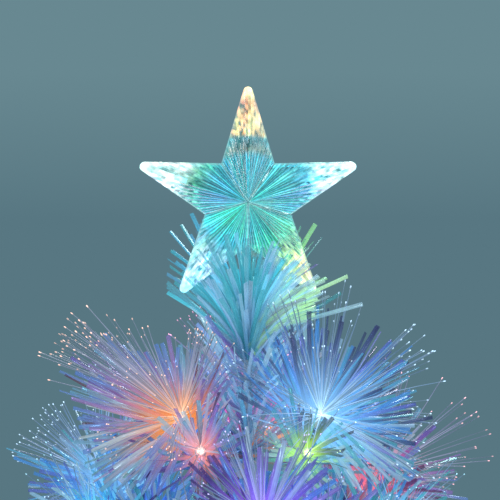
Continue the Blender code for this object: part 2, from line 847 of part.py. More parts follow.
# The film strips are one sleeve that swells to a bud behind each LED.
# It has a bore for the rod and the lead.
def film_profile(tier, length):
    """Radius and distance along a twig: it swells to its widest near the tip."""
    return [
        (film_neck, 0),
        (FILM_RADII[tier], length - FILM_BUD_LENGTH),
        (film_neck, length),
    ]


def spindle_mesh(start, heading, profile, sides):
    rings = [(0, profile[0][1]), *profile, (0, profile[-1][1])]
    mesh = turned_mesh("spindle", rings, sides, False)
    mesh.transform(Matrix.Translation(start) @ along(heading))
    return mesh


def film_mesh(tier, twigs):
    spindles = []
    bores = []
    for twig in twigs:
        if twig.is_stem:
            begin = stem_point(tier, FILM_START_SHARES[tier])
            bores.append(tube_mesh("bore", twig.points, film_bore, 0))
        else:
            begin = twig.points[0]
            widen = begin + twig.heading * BORE_START_LENGTH
            bores.append(tube_mesh("bore", [begin, widen, twig.tip], film_bore, 0, BORE_START_SHARE))
        end = twig.tip - twig.heading * (HOLDER_LENGTH + SEAT_GAP)
        line = end - begin
        spindles.append(spindle_mesh(begin, line, film_profile(tier, line.length), FILM_SIDES))
    return cut("film", joined("film", spindles), [joined("bores", bores)])


# The lights are LED holders on a thin lead, each with its burst of fibres.
# The strands grow from the faces of the burst's round head.
class StrandRoom:
    """Keeps the strands clear of each other and of the other soft pieces, on all three sides."""

    def __init__(self):
        self.starts = np.empty((0, 3))
        self.ends = np.empty((0, 3))
        self.start_radii = np.empty(0)
        self.end_radii = np.empty(0)

    def add(self, start, end, start_radius, end_radius, copies=BRANCHES_PER_TIER):
        for number in range(copies):
            spin = Matrix.Rotation(2 * math.pi * number / copies, 3, "Z")
            self.starts = np.vstack([self.starts, np.array(spin @ start)])
            self.ends = np.vstack([self.ends, np.array(spin @ end)])
            self.start_radii = np.append(self.start_radii, start_radius)
            self.end_radii = np.append(self.end_radii, end_radius)

    def clear(self, start, end, start_radius, end_radius):
        """True if a tapering strand from start to end passes everything that was added."""
        shares = np.linspace(0, 1, STRAND_SAMPLES)[:, None]
        points = np.array(start) * (1 - shares) + np.array(end) * shares
        own_radius = start_radius * (1 - shares) + end_radius * shares
        line = self.ends - self.starts
        length_squared = np.maximum((line**2).sum(axis=1), WELD_DISTANCE**2)
        offset = points[:, None, :] - self.starts[None, :, :]
        place = np.clip((offset * line).sum(axis=2) / length_squared, 0, 1)
        nearest = self.starts + place[:, :, None] * line
        radius = self.start_radii * (1 - place) + self.end_radii * place
        distance = np.linalg.norm(points[:, None, :] - nearest, axis=2)
        return bool((distance > radius + own_radius + STRAND_GAP).all())


def burst_mesh(centre, heading, world, room, number):
    """A round head whose outer faces are drawn out into strands, as long as there is room for,
    and whose inner faces are drawn back into the LED's holder."""
    shape = bmesh.new()
    bmesh.ops.create_icosphere(
        shape,
        subdivisions=1,
        radius=BURST_RADIUS,
        matrix=Matrix.Translation(centre) @ along(heading),
    )
    rear = min(shape.verts, key=lambda vertex: (vertex.co - centre).dot(heading))
    back = bmesh.ops.extrude_face_region(shape, geom=list(rear.link_faces))["geom"]
    bmesh.ops.delete(shape, geom=list(rear.link_faces), context="FACES_KEEP_BOUNDARY")
    for item in back:
        if isinstance(item, bmesh.types.BMVert):
            depth = (item.co - centre).dot(heading)
            item.co -= heading * (HOLDER_LENGTH + depth)
    for vertex in [vertex for vertex in shape.verts if not vertex.link_faces]:
        shape.verts.remove(vertex)
    faces = [
        face
        for face in shape.faces
        if len(face.verts) == 3 and face.normal.normalized().angle(heading) < WIDEST_STRAND_ANGLE
    ]
    faces.sort(key=lambda face: round(face.normal.angle(heading), 2))
    faces = faces[:STRANDS_PER_BURST]
    strands = []
    end_radius = strand_root_radius * STRAND_END_SHARE
    for order, face in enumerate(faces):
        outward = face.normal.normalized()
        wave = 1 - LENGTH_WAVE_SHARE * (1 + math.sin(LENGTH_WAVE_STEP * (order + number)))
        length = STRAND_LENGTH * wave
        root = face.calc_center_median()
        begin = world @ (root + outward * STRAND_STEP)
        while length > SHORTEST_STRAND and not room.clear(
            begin, world @ (root + outward * length), strand_root_radius, end_radius
        ):
            length -= STRAND_STEP
        if length > SHORTEST_STRAND:
            strands.append((face, outward, length))
            room.add(begin, world @ (root + outward * length), strand_root_radius, end_radius)
    drawn = [face for face, _, _ in strands]
    ends = bmesh.ops.extrude_discrete_faces(shape, faces=drawn)["faces"]
    for (_, outward, length), end in zip(strands, ends):
        middle = end.calc_center_median()
        for corner in end.verts:
            corner.co = middle + (corner.co - middle) * STRAND_END_SHARE + outward * length
    return mesh_from_bmesh("burst", shape), [length for _, _, length in strands]


def lights_mesh(tier, twigs, world, room):
    drop = lift_direction(tier) * -harness_drop
    pieces = []
    strand_lengths = []
    for order, twig in enumerate(twigs):
        burst, lengths = burst_mesh(twig.tip, twig.heading, world, room, order)
        pieces.append(burst)
        strand_lengths += lengths
        inside = twig.tip - twig.heading * HOLDER_LENGTH / 2
        if twig.is_stem:
            path = [point + drop for point in twig.points[1:-1]] + [inside + drop]
        else:
            path = [twig.points[0] + drop, inside + drop]
        pieces.append(tube_mesh("lead", path, LEAD_WIRE_RADIUS, 0))
    return joined("lights", pieces), strand_lengths


def strand_room():
    """The room left by the film sleeves, the trunk and the star."""
    room = StrandRoom()
    for tier in range(len(TIER_HEIGHTS)):
        world = tier_matrix(tier, 0)
        for twig in branch_twigs(tier):
            begin = twig.points[1] if twig.is_stem else twig.points[0]
            end = twig.tip - twig.heading * (HOLDER_LENGTH + SEAT_GAP)
            line = end - begin
            profile = film_profile(tier, line.length)
            for (radius, place), (next_radius, next_place) in zip(profile, profile[1:]):
                first = world @ (begin + line * place / line.length)
                second = world @ (begin + line * next_place / line.length)
                room.add(first, second, radius, next_radius)
    centre = Vector((0, 0, star_height))
    film_base = Vector((0, 0, leader_film_base))
    film_top = Vector((0, 0, leader_film_top))
    room.add(film_base, film_top, LEADER_FILM_RADIUS, LEADER_FILM_RADIUS, 1)
    room.add(Vector((0, 0, 0)), film_base, lip_outer, lip_outer, 1)
    room.add(Vector((0, 0, socket_base)), centre, SOCKET_REST_RADIUS, SOCKET_REST_RADIUS, 1)
    for point in range(STAR_POINTS):
        angle = math.pi / 2 + 2 * math.pi * point / STAR_POINTS
        tip = centre + Vector((math.cos(angle), 0, math.sin(angle))) * STAR_RADIUS
        room.add(centre, tip, STAR_DOME + STAR_RIM, STAR_RIM, 1)
    return room


def make_branches():
    room = strand_room()
    for tier in range(len(TIER_HEIGHTS)):
        twigs = branch_twigs(tier)
        world = tier_matrix(tier, 0)
        rod = rod_mesh(tier, twigs)
        sleeve = film_mesh(tier, twigs)
        lights, lengths = lights_mesh(tier, twigs, world, room)
        shortest, longest = (round(end(lengths) / MILLIMETRE) for end in (min, max))
        count = len(lengths) * BRANCHES_PER_TIER
        print(f"tier {tier + 1}: {count} strands, {shortest} to {longest} mm long")
        for branch in range(BRANCHES_PER_TIER):
            name = f"branch_{tier + 1}_{branch + 1}"
            hinge = place_empty(f"{name}_hinge", tier_matrix(tier, branch))
            parent_at(add_part(f"{name}_rod", rod, steel), hinge)
            parent_at(add_part(f"{name}_film", sleeve, film), hinge)
            parent_at(add_part(f"{name}_lights", lights, fibre), hinge)


make_branches()


# The leader's film strips stand on the thin leader rod under the star.
def make_leader_film():
    rise = LEADER_FILM_LENGTH / LEADER_FILM_TIERS
    bore = corner_radius(LEADER_RADIUS + SEAT_GAP, LEADER_FILM_SIDES)
    profile = [(bore, leader_film_top)]
    for step in range(LEADER_FILM_TIERS):
        top = leader_film_top - rise * step
        profile += [(LEADER_FILM_RADIUS, top), (film_neck, top - rise * LEADER_FILM_FLARE_SHARE)]
    profile.append((film_neck, leader_film_base))
    profile.append((bore, leader_film_base))
    add_part("leader_film", turned_mesh("leader_film", profile, LEADER_FILM_SIDES, True), film)


make_leader_film()


# The star is two clear ribbed shells round a light board with an LED in each arm.
# Its frame has x to the right, y up and z towards the viewer.
star_place = Matrix.Translation((0, 0, star_height)) @ Matrix.Rotation(math.pi / 2, 4, "X")


def star_radius_at(angle, tip, inner):
    """The radius of a straight-sided star, whose first tip is at the top."""
    sector = 2 * math.pi / STAR_POINTS
    away = abs((angle - math.pi / 2 + sector / 2) % sector - sector / 2)
    half = sector / 2
    return tip * inner * math.sin(half) / (tip * math.sin(away) + inner * math.sin(half - away))


def star_outline(tip, inner):
    """Outline points from one rib to the next, anticlockwise from the top, with blunt tips."""
    count = STAR_POINTS * RIBS_PER_ARM
    points = []
    for step in range(count):
        angle = math.pi / 2 + 2 * math.pi * step / count
        radius = star_radius_at(angle, tip, inner)
        if step % RIBS_PER_ARM == 0:
            radius -= STAR_TIP_ROUNDING
        points.append((radius * math.cos(angle), radius * math.sin(angle)))
    return points


def wall_share():
    """How much smaller the star is inside, so that its walls are STAR_WALL thick."""
    half = math.pi / STAR_POINTS
    along_edge = Vector((star_corner * math.sin(half), STAR_RADIUS - star_corner * math.cos(half)))
    edge_distance = STAR_RADIUS * along_edge.normalized().x
    return 1 - STAR_WALL / edge_distance


def star_shell(name, share, rib, back):
    """One half of the star, closed at the back: a fan of ribs from the raised centre to the
    outline, and a rim round it. The inside is the same shape at a smaller share of its size."""
    outline = star_outline(STAR_RADIUS * share, star_corner * share)
    shape = bmesh.new()
    made = bmesh.ops.create_circle(
        shape,
        cap_ends=True,
        cap_tris=True,
        segments=len(outline),
        radius=STAR_RADIUS,
    )
    centre = min(made["verts"], key=lambda vertex: vertex.co.length)
    centre.co.z = STAR_RIM + STAR_DOME * share - (STAR_WALL if share < 1 else 0)
    corners = [vertex for vertex in made["verts"] if vertex is not centre]
    for number, (vertex, (x, y)) in enumerate(zip(corners, outline)):
        vertex.co = (x, y, STAR_RIM - rib * (number % 2))
    rim = [edge for edge in shape.edges if edge.is_boundary]
    walls = bmesh.ops.extrude_edge_only(shape, edges=rim)["geom"]
    for item in walls:
        if isinstance(item, bmesh.types.BMVert):
            item.co.z = back
    bmesh.ops.contextual_create(shape, geom=[edge for edge in shape.edges if edge.is_boundary])
    return mesh_from_bmesh(name, shape)


def star_half(name, facing):
    """A shell facing the viewer (1) or away (-1), with its half of the socket's hole."""
    outer = star_shell("star_outer", 1, STAR_RIB, SEAT_GAP / 2)
    shell = cut(name, outer, [star_shell("star_inner", wall_share(), 0, -CUT_OVERRUN)])
    notch = cylinder_mesh(
        "socket_notch",
        (0, -STAR_RADIUS, 0),
        (0, -star_corner / 2, 0),
        corner_radius(socket_radius + RUNNING_GAP, SOCKET_SIDES),
        SOCKET_SIDES,
    )
    shell = cut(name, shell, [notch])
    if facing < 0:
        edge = POST_SPACING / 2 + POST_RADIUS
        level = star_radius_at(0, STAR_RADIUS, star_corner)
        top = STAR_RIM + STAR_DOME * (1 - edge / level) - STAR_WALL / 3
        posts = [
            cylinder_mesh(
                "post",
                (side * POST_SPACING / 2, 0, BOARD_THICKNESS / 2 + SEAT_GAP),
                (side * POST_SPACING / 2, 0, top),
                POST_RADIUS,
                POST_SIDES,
            )
            for side in (-1, 1)
        ]
        shell = joined(name, [shell, *posts])
        shell.transform(Matrix.Rotation(math.pi, 4, "Y"))
    return shell


def make_light_board():
    outline = []
    for step in range(STAR_POINTS * 2):
        angle = math.pi / 2 + math.pi * step / STAR_POINTS
        radius = board_radius * (BOARD_INNER_SHARE if step % 2 else 1)
        outline.append((radius * math.cos(angle), radius * math.sin(angle)))
    pieces = [outline_mesh("board", outline, BOARD_THICKNESS, Matrix.Identity(4))]
    for point in range(STAR_POINTS):
        angle = math.pi / 2 + 2 * math.pi * point / STAR_POINTS
        ray = Vector((math.cos(angle), math.sin(angle), 0))
        start = ray * (board_radius - LAMP_LENGTH)
        pieces.append(
            cylinder_mesh("lamp", start, start + ray * LAMP_LENGTH, LAMP_RADIUS, LAMP_SIDES, LAMP_RADIUS / 2)
        )
    board = joined("light_board", pieces)
    gap = cylinder_mesh(
        "board_gap",
        (0, -STAR_RADIUS, 0),
        (0, -star_corner * BOARD_NOTCH_SHARE, 0),
        socket_catch_radius + RUNNING_GAP,
        SOCKET_SIDES,
    )
    return cut("light_board", board, [gap])


def make_star():
    add_part("star_front_shell", star_half("star_front", 1), star_plastic, star_place)
    add_part("star_rear_shell", star_half("star_rear", -1), star_plastic, star_place)
    add_part("star_light_board", make_light_board(), board_material, star_place)


# The socket is a clear tube that slides over the leader and sits on its tip. The star's lower
# corner rests on the socket's cone, turns on it, and is held down by its small catch.
def make_socket():
    half = math.pi / STAR_POINTS
    slope = (STAR_RADIUS * math.cos(half) - star_corner) / (STAR_RADIUS * math.sin(half))
    peak = star_height - star_corner - RUNNING_GAP
    rest = peak - slope * SOCKET_REST_RADIUS
    profile = [
        (0, socket_top),
        (socket_catch_radius, socket_top),
        (socket_catch_radius, socket_top - SOCKET_CATCH_THICKNESS),
        (socket_radius, socket_top - SOCKET_CATCH_THICKNESS),
        (socket_radius, peak - slope * socket_radius),
        (SOCKET_REST_RADIUS, rest),
        (SOCKET_REST_RADIUS, rest - SOCKET_REST_THICKNESS),
        (socket_radius, rest - SOCKET_REST_THICKNESS),
        (socket_radius, socket_base + SOCKET_FLARE_HEIGHT),
        (SOCKET_FLARE_RADIUS, socket_base),
        (socket_bore, socket_base),
        (socket_bore, leader_top + SEAT_GAP),
        (0, leader_top + SEAT_GAP),
    ]
    add_part("star_socket", turned_mesh("star_socket", profile, SOCKET_SIDES, True), star_plastic)


make_star()
make_socket()
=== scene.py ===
import math
from collections import namedtuple

import bmesh
import bpy
import numpy as np
from mathutils import Matrix, Vector


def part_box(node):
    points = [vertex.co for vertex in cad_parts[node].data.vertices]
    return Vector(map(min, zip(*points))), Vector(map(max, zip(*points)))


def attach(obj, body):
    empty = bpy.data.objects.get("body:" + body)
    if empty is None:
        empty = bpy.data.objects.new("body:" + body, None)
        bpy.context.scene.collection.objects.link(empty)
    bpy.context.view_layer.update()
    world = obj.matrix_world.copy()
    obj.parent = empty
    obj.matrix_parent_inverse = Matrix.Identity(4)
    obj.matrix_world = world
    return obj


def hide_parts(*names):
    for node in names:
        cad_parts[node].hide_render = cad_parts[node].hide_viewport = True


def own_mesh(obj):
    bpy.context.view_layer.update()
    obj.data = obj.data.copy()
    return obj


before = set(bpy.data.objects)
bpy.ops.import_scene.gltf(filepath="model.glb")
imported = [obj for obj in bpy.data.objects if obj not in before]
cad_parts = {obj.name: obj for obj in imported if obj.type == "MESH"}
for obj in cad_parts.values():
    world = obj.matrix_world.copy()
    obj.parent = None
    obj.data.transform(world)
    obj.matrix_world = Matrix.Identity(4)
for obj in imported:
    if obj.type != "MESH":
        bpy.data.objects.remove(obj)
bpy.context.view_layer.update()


# The stand's hub is a turned steel socket with welded lugs, rivets and a boss for its screw.
# All of the stand's steel is powder-coated off-white, with the coat's fine orange peel.
def tone(red, green, blue):
    """A colour from its red, green and blue as a screen shows them, 0 to 255."""
    shares = [value / 255 for value in (red, green, blue)]
    return tuple(
        share / 12.92 if share <= 0.04045 else ((share + 0.055) / 1.055) ** 2.4 for share in shares
    )


def add_node(owner, kind, inputs=None, **settings):
    """A shader node of a material or the world. Each input is a value, or a socket to link."""
    tree = owner.node_tree
    made = tree.nodes.new(f"ShaderNode{kind}")
    for name, value in settings.items():
        setattr(made, name, value)
    for name, value in (inputs or {}).items():
        socket = made.inputs[name]
        if isinstance(value, bpy.types.NodeSocket):
            tree.links.new(value, socket)
        else:
            socket.default_value = value
    return made


def new_finish(name, colour, roughness, metallic=0.0):
    """A material and its Principled node."""
    material = bpy.data.materials.new(name)
    material.use_nodes = True
    shader = material.node_tree.nodes["Principled BSDF"]
    shader.inputs["Base Color"].default_value = (*colour, 1)
    shader.inputs["Roughness"].default_value = roughness
    shader.inputs["Metallic"].default_value = metallic
    return material, shader


def feed(material, shader, name, socket):
    material.node_tree.links.new(socket, shader.inputs[name])


def math_of(owner, operation, first, second=0.0, third=0.0):
    return add_node(owner, "Math", {0: first, 1: second, 2: third}, operation=operation).outputs[0]


def mixed(material, factor, first, second):
    """One colour for each point, from first to second by factor."""
    node = add_node(material, "Mix", {0: factor, 6: first, 7: second}, data_type="RGBA")
    return node.outputs[2]


def own_place(material):
    """Each point's place on its piece, which the pattern of a finish follows."""
    return add_node(material, "TexCoord").outputs["Object"]


def grain(material, place, scale, detail=2.0, stretch=(1, 1, 1)):
    """Noise from 0 to 1, fine where the scale is large, and stretched along an axis if need be."""
    if stretch != (1, 1, 1):
        place = add_node(material, "Mapping", {"Vector": place, "Scale": stretch}).outputs[0]
    return add_node(material, "TexNoise", {"Vector": place, "Scale": scale, "Detail": detail}).outputs[0]


def rough_surface(material, shader, height, depth):
    bump = add_node(material, "Bump", {"Height": height, "Distance": depth, "Strength": 1.0})
    feed(material, shader, "Normal", bump.outputs[0])


def powder_coat(name, colour):
    material, shader = new_finish(name, colour, roughness=0.4)
    place = own_place(material)
    patches = grain(material, place, scale=70, detail=3)
    chips = grain(material, place, scale=620, detail=2)
    worn = math_of(material, "MULTIPLY", math_of(material, "GREATER_THAN", chips, 0.76), 0.35)
    base = mixed(material, patches, (*(c * 0.9 for c in colour), 1), (*colour, 1))
    feed(material, shader, "Base Color", mixed(material, worn, base, (*tone(150, 154, 158), 1)))
    feed(material, shader, "Roughness", math_of(material, "MULTIPLY_ADD", patches, 0.25, 0.3))
    rough_surface(material, shader, grain(material, place, scale=1300), depth=0.00012)
    return material


def turn(shape, profile, sides, place=Matrix.Identity(4), start=0.0, sweep=2 * math.pi):
    """Turns a closed profile of (radius, height) points round the place's own Z axis."""
    whole = abs(sweep - 2 * math.pi) < 1e-6
    columns = []
    for step in range(sides if whole else sides + 1):
        angle = start + sweep * step / sides
        ray = Vector((math.cos(angle), math.sin(angle), 0))
        columns.append([shape.verts.new(place @ (ray * r + Vector((0, 0, z)))) for r, z in profile])
    for near, far in zip(columns, columns[1:] + (columns[:1] if whole else [])):
        for this, following in zip(range(len(profile)), [*range(1, len(profile)), 0]):
            if profile[this][0] or profile[following][0]:
                shape.faces.new((near[this], near[following], far[following], far[this]))
    if not whole:
        shape.faces.new(columns[0])
        shape.faces.new(columns[-1])


def plate(shape, outline, thickness, place):
    """A flat outline of (x, y) points, extruded to its thickness about its own plane."""
    low = [shape.verts.new(place @ Vector((x, y, -thickness / 2))) for x, y in outline]
    high = [shape.verts.new(place @ Vector((x, y, thickness / 2))) for x, y in outline]
    shape.faces.new(low)
    shape.faces.new(high)
    for near, far in zip(range(len(outline)), [*range(1, len(outline)), 0]):
        shape.faces.new((low[near], low[far], high[far], high[near]))


def as_piece(name, mesh, materials):
    """The mesh as a piece of the scene, with its materials."""
    for material in materials:
        mesh.materials.append(material)
    piece = bpy.data.objects.new(name, mesh)
    bpy.context.scene.collection.objects.link(piece)
    return piece


CREASE_ANGLE = math.radians(35)


def finished(name, shape, materials, edge=0.0):
    """The shape as a piece, with its edges rounded to the given radius."""
    bmesh.ops.remove_doubles(shape, verts=shape.verts, dist=1e-6)
    bmesh.ops.recalc_face_normals(shape, faces=shape.faces)
    mesh = bpy.data.meshes.new(name)
    shape.to_mesh(mesh)
    shape.free()
    mesh.shade_smooth()
    mesh.set_sharp_from_angle(angle=CREASE_ANGLE)
    piece = as_piece(name, mesh, materials)
    if edge:
        bevel = piece.modifiers.new("rounded_edges", "BEVEL")
        bevel.width = edge
        bevel.segments = 2
        bevel.limit_method = "ANGLE"
        bevel.angle_limit = CREASE_ANGLE
    return piece


def fitted(piece, body, slot, *nodes):
    """The piece rides on its body and stands for the CAD nodes, which are hidden. The slot is not used."""
    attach(piece, body)
    if nodes:
        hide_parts(*nodes)


SOCKET_BORE = 0.0093
SOCKET_WALL_RADIUS = 0.0118
SOCKET_BASE = 0.040
SOCKET_FLOOR = 0.043
SOCKET_TOP = 0.120
SOCKET_LIP = 0.0008
PIVOT_REACH = 0.0191
PIVOT_HEIGHT = 0.050
LEG_TURNS = [math.radians(turn_degrees) for turn_degrees in (90, 210, 330)]
LUG_ROOT = 0.0105
LUG_RADIUS = 0.010
LUG_THICKNESS = 0.0025
LUG_OFFSET = 0.00365
RIVET_HEAD_OFFSET = 0.0049
RIVET_HEAD = ((0, 0.0016), (0.0022, 0.0013), (0.0038, 0.0006), (0.0045, 0), (0, -0.004))
BOSS = ((0.0029, 0.0188), (0.0065, 0.0188), (0.0065, 0.0106), (0.0029, 0.0106))
SCREW_HEIGHT = 0.100
SCREW_TURN = math.radians(-30)
screw_place = Matrix.Translation((0, 0, SCREW_HEIGHT)) @ Matrix.Rotation(SCREW_TURN, 4, "Z")
screw_place = screw_place @ Matrix.Rotation(math.pi / 2, 4, "Y")
coat = powder_coat("white_powder_coat", tone(214, 220, 224))


def make_hub():
    shape = bmesh.new()
    socket = [
        (SOCKET_BORE, SOCKET_TOP - SOCKET_LIP),
        (SOCKET_BORE + SOCKET_LIP, SOCKET_TOP),
        (SOCKET_WALL_RADIUS + SOCKET_LIP, SOCKET_TOP),
        (SOCKET_WALL_RADIUS + SOCKET_LIP, SOCKET_TOP - 4 * SOCKET_LIP),
        (SOCKET_WALL_RADIUS, SOCKET_TOP - 5 * SOCKET_LIP),
        (SOCKET_WALL_RADIUS, SOCKET_BASE + SOCKET_LIP),
        (SOCKET_WALL_RADIUS - SOCKET_LIP, SOCKET_BASE),
        (0, SOCKET_BASE),
        (0, SOCKET_FLOOR),
        (SOCKET_BORE, SOCKET_FLOOR),
    ]
    turn(shape, socket, 64)
    arc = [math.pi * step / 10 for step in range(11)]
    lug = [(PIVOT_REACH + LUG_RADIUS * math.sin(a), PIVOT_HEIGHT - LUG_RADIUS * math.cos(a)) for a in arc]
    lug = [(LUG_ROOT, PIVOT_HEIGHT - LUG_RADIUS), *lug, (LUG_ROOT, PIVOT_HEIGHT + LUG_RADIUS)]
    for turned in LEG_TURNS:
        upright = Matrix.Rotation(turned, 4, "Z") @ Matrix.Rotation(math.pi / 2, 4, "X")
        for side in (-1, 1):
            plate(shape, lug, LUG_THICKNESS, upright @ Matrix.Translation((0, 0, side * LUG_OFFSET)))
            head = upright @ Matrix.Translation((PIVOT_REACH, PIVOT_HEIGHT, side * RIVET_HEAD_OFFSET))
            if side < 0:
                head = head @ Matrix.Rotation(math.pi, 4, "X")
            turn(shape, RIVET_HEAD, 24, head)
    turn(shape, BOSS, 40, screw_place)
    hub = finished("stand_hub_steel", shape, [coat], edge=0.0003)
    fitted(hub, "stand", "painted_steel", "stand_hub")


make_hub()


# Each leg is a flat steel bar, pressed with a stiffening rib, that folds down under the hub on its
# rivet. Its toe wears a black rubber boot with a ribbed sole and the mould's matt skin.
def moulded_rubber(name):
    material, shader = new_finish(name, tone(34, 35, 38), roughness=0.8)
    place = own_place(material)
    dust = grain(material, place, scale=160, detail=5)
    dusty = (*tone(52, 53, 56), 1)
    feed(material, shader, "Base Color", mixed(material, dust, (*tone(26, 27, 30), 1), dusty))
    rough_surface(material, shader, grain(material, place, scale=900, detail=4), depth=0.0002)
    return material


# A leg's places are measured from its pivot, outwards and upwards. The boot's are from the floor.
BAR_HALF_DEPTH = 0.007
BAR_THICKNESS = 0.004
TOE_START = 0.1339
TOE_END = 0.1559
TOE_UNDERSIDE = -0.0462
TOE_TOP = -0.0362
RIB_START = Vector((0.012, -0.001))
RIB_END = Vector((0.1219, -0.0366))
RIB_RADIUS = 0.002
RIB_THICKNESS = 0.0011
RIB_OFFSET = 0.0019
BOOT_START = 0.1384
BOOT_END = 0.1587
BOOT_HALF_WIDTH = 0.0048
BOOT_LEVELS = (
    (0.0, 0.0),
    (0.0008, 0.0006),
    (0.0016, 0.0),
    (0.0024, 0.0006),
    (0.0032, 0.0),
    (0.0125, 0.0),
    (0.0163, 0.0008),
)
rubber = moulded_rubber("black_rubber")


def press_rib(shape, upright):
    """A raised rib with round ends on both faces of a leg's bar."""
    run = RIB_END - RIB_START
    middle = RIB_START + run / 2
    slope = Matrix.Rotation(math.atan2(run.y, run.x), 4, "Z")
    half = run.length / 2
    arc = [math.pi * step / 8 for step in range(9)]
    outline = [(half + RIB_RADIUS * math.sin(a), -RIB_RADIUS * math.cos(a)) for a in arc]
    outline += [(-half - RIB_RADIUS * math.sin(a), RIB_RADIUS * math.cos(a)) for a in arc]
    for side in (-1, 1):
        centre = Matrix.Translation((middle.x, middle.y, side * RIB_OFFSET))
        plate(shape, outline, RIB_THICKNESS, upright @ centre @ slope)


def make_leg(number, turned):
    hinge = Matrix.Rotation(turned, 4, "Z") @ Matrix.Translation((PIVOT_REACH, 0, PIVOT_HEIGHT))
    upright = hinge @ Matrix.Rotation(math.pi / 2, 4, "X")
    half = BAR_HALF_DEPTH
    arc = [math.pi / 2 * step / 6 for step in range(7)]
    heel = [(-half * math.cos(a), -half * math.sin(a)) for a in arc]
    toe = [(TOE_START, TOE_UNDERSIDE), (TOE_END, TOE_UNDERSIDE), (TOE_END, TOE_TOP), (TOE_START, TOE_TOP)]
    shape = bmesh.new()
    plate(shape, [(0, half), (-half, half), *heel, *toe], BAR_THICKNESS, upright)
    press_rib(shape, upright)
    bar = finished(f"leg_{number}_bar", shape, [coat], edge=0.0005)
    fitted(bar, f"leg_{number}", "painted_steel", f"leg_{number}")

    shape = bmesh.new()
    rings = []
    for height, inset in BOOT_LEVELS:
        near, far, half = BOOT_START + inset, BOOT_END - inset, BOOT_HALF_WIDTH - inset
        corners = ((near, -half), (far, -half), (far, half), (near, half))
        rings.append([shape.verts.new(hinge @ Vector((x, y, height - PIVOT_HEIGHT))) for x, y in corners])
    for low, high in zip(rings, rings[1:]):
        for this, following in ((0, 1), (1, 2), (2, 3), (3, 0)):
            shape.faces.new((low[this], low[following], high[following], high[this]))
    shape.faces.new(rings[0][::-1])
    shape.faces.new(rings[-1])
    boot = finished(f"leg_{number}_boot", shape, [rubber], edge=0.0006)
    fitted(boot, f"leg_{number}", "foot_rubber", f"foot_{number}")


for leg_number, leg_turn in enumerate(LEG_TURNS, start=1):
    make_leg(leg_number, leg_turn)


# The thumb screw is a zinc-plated wing screw that runs in the hub's boss and bears on the trunk.
# Its wings are pressed from one plate, with rounded ears for the fingers.
def plated_steel(name, colour, roughness):
    material, shader = new_finish(name, colour, roughness, metallic=0.9)
    place = own_place(material)
    cloud = grain(material, place, scale=240, detail=4)
    dull = (*(c * 0.7 for c in colour), 1)
    feed(material, shader, "Base Color", mixed(material, cloud, dull, (*colour, 1)))
    rough_surface(material, shader, grain(material, place, scale=2200, detail=3), depth=0.00004)
    return material


SCREW_TIP = 0.0093
THREAD_START = 0.0096
THREAD_TURNS = 13
THREAD_PITCH = 0.0008
THREAD_ROOT = 0.0022
THREAD_CREST = 0.0025
SCREW_HEAD = ((0.0045, 0.0200), (0.0045, 0.0232), (0.0032, 0.0240), (0, 0.0240))
WING_THICKNESS = 0.0028
WING_ROOT = ((0.0010, 0.0258), (0, 0.0204), (0.0060, 0.0222))
EAR_REACH = 0.0085
EAR_HEIGHT = 0.0290
EAR_HALF_WIDTH = 0.0036
EAR_HALF_HEIGHT = 0.0052
zinc = plated_steel("zinc_plate", tone(205, 208, 212), 0.32)


def make_wing_screw():
    shape = bmesh.new()
    thread = [(0, SCREW_TIP)]
    for ridge in range(THREAD_TURNS):
        height = THREAD_START + ridge * THREAD_PITCH
        thread += [(THREAD_ROOT, height), (THREAD_CREST, height + THREAD_PITCH / 2)]
    turn(shape, [*thread, *SCREW_HEAD], 32, screw_place)
    ear = []
    for step in range(7):
        angle = math.radians(-60 + 30 * step)
        reach = EAR_REACH + EAR_HALF_WIDTH * math.cos(angle)
        ear.append((reach, EAR_HEIGHT + EAR_HALF_HEIGHT * math.sin(angle)))
    for side in (-1, 1):
        wing = [(side * x, y) for x, y in (*WING_ROOT, *ear)]
        plate(shape, wing, WING_THICKNESS, screw_place @ Matrix.Rotation(math.pi / 2, 4, "X"))
    screw = finished("thumb_screw_wings", shape, [zinc], edge=0.0004)
    fitted(screw, "thumb_screw", "painted_steel", "thumb_screw")


make_wing_screw()


# The trunk is two steel tubes. The upper is swaged down to plug into the lower, and its top is
# drawn to a cone that carries the thin leader rod under the star.
TRUNK_RADIUS = 0.009
TUBE_WALL = 0.0012
TUBE_FOOT = 0.0433
TUBE_JOINT = 0.385
TUBE_SHOULDER = 0.3853
BEAD_DEPTH = 0.0004
PLUG_RADIUS = 0.0075
PLUG_DEPTH = 0.045
LEADER_RADIUS = 0.0025
LEADER_TOP = 0.8040
TUBES = {
    "lower": (
        (TRUNK_RADIUS - TUBE_WALL, TUBE_JOINT),
        (TRUNK_RADIUS - BEAD_DEPTH, TUBE_JOINT),
        (TRUNK_RADIUS, TUBE_JOINT - 0.0006),
        (TRUNK_RADIUS, TUBE_JOINT - 0.012),
        (TRUNK_RADIUS - BEAD_DEPTH, TUBE_JOINT - 0.0135),
        (TRUNK_RADIUS, TUBE_JOINT - 0.015),
        (TRUNK_RADIUS, TUBE_FOOT),
        (TRUNK_RADIUS - TUBE_WALL, TUBE_FOOT),
    ),
    "upper": (
        (0, LEADER_TOP),
        (LEADER_RADIUS - 0.001, LEADER_TOP),
        (LEADER_RADIUS, LEADER_TOP - 0.002),
        (LEADER_RADIUS, 0.656),
        (0.0045, 0.653),
        (0.0080, 0.647),
        (TRUNK_RADIUS, 0.645),
        (TRUNK_RADIUS, TUBE_SHOULDER + 0.0006),
        (TRUNK_RADIUS - 0.0006, TUBE_SHOULDER),
        (PLUG_RADIUS, TUBE_SHOULDER),
        (PLUG_RADIUS, TUBE_SHOULDER - PLUG_DEPTH),
        (0, TUBE_SHOULDER - PLUG_DEPTH),
    ),
}
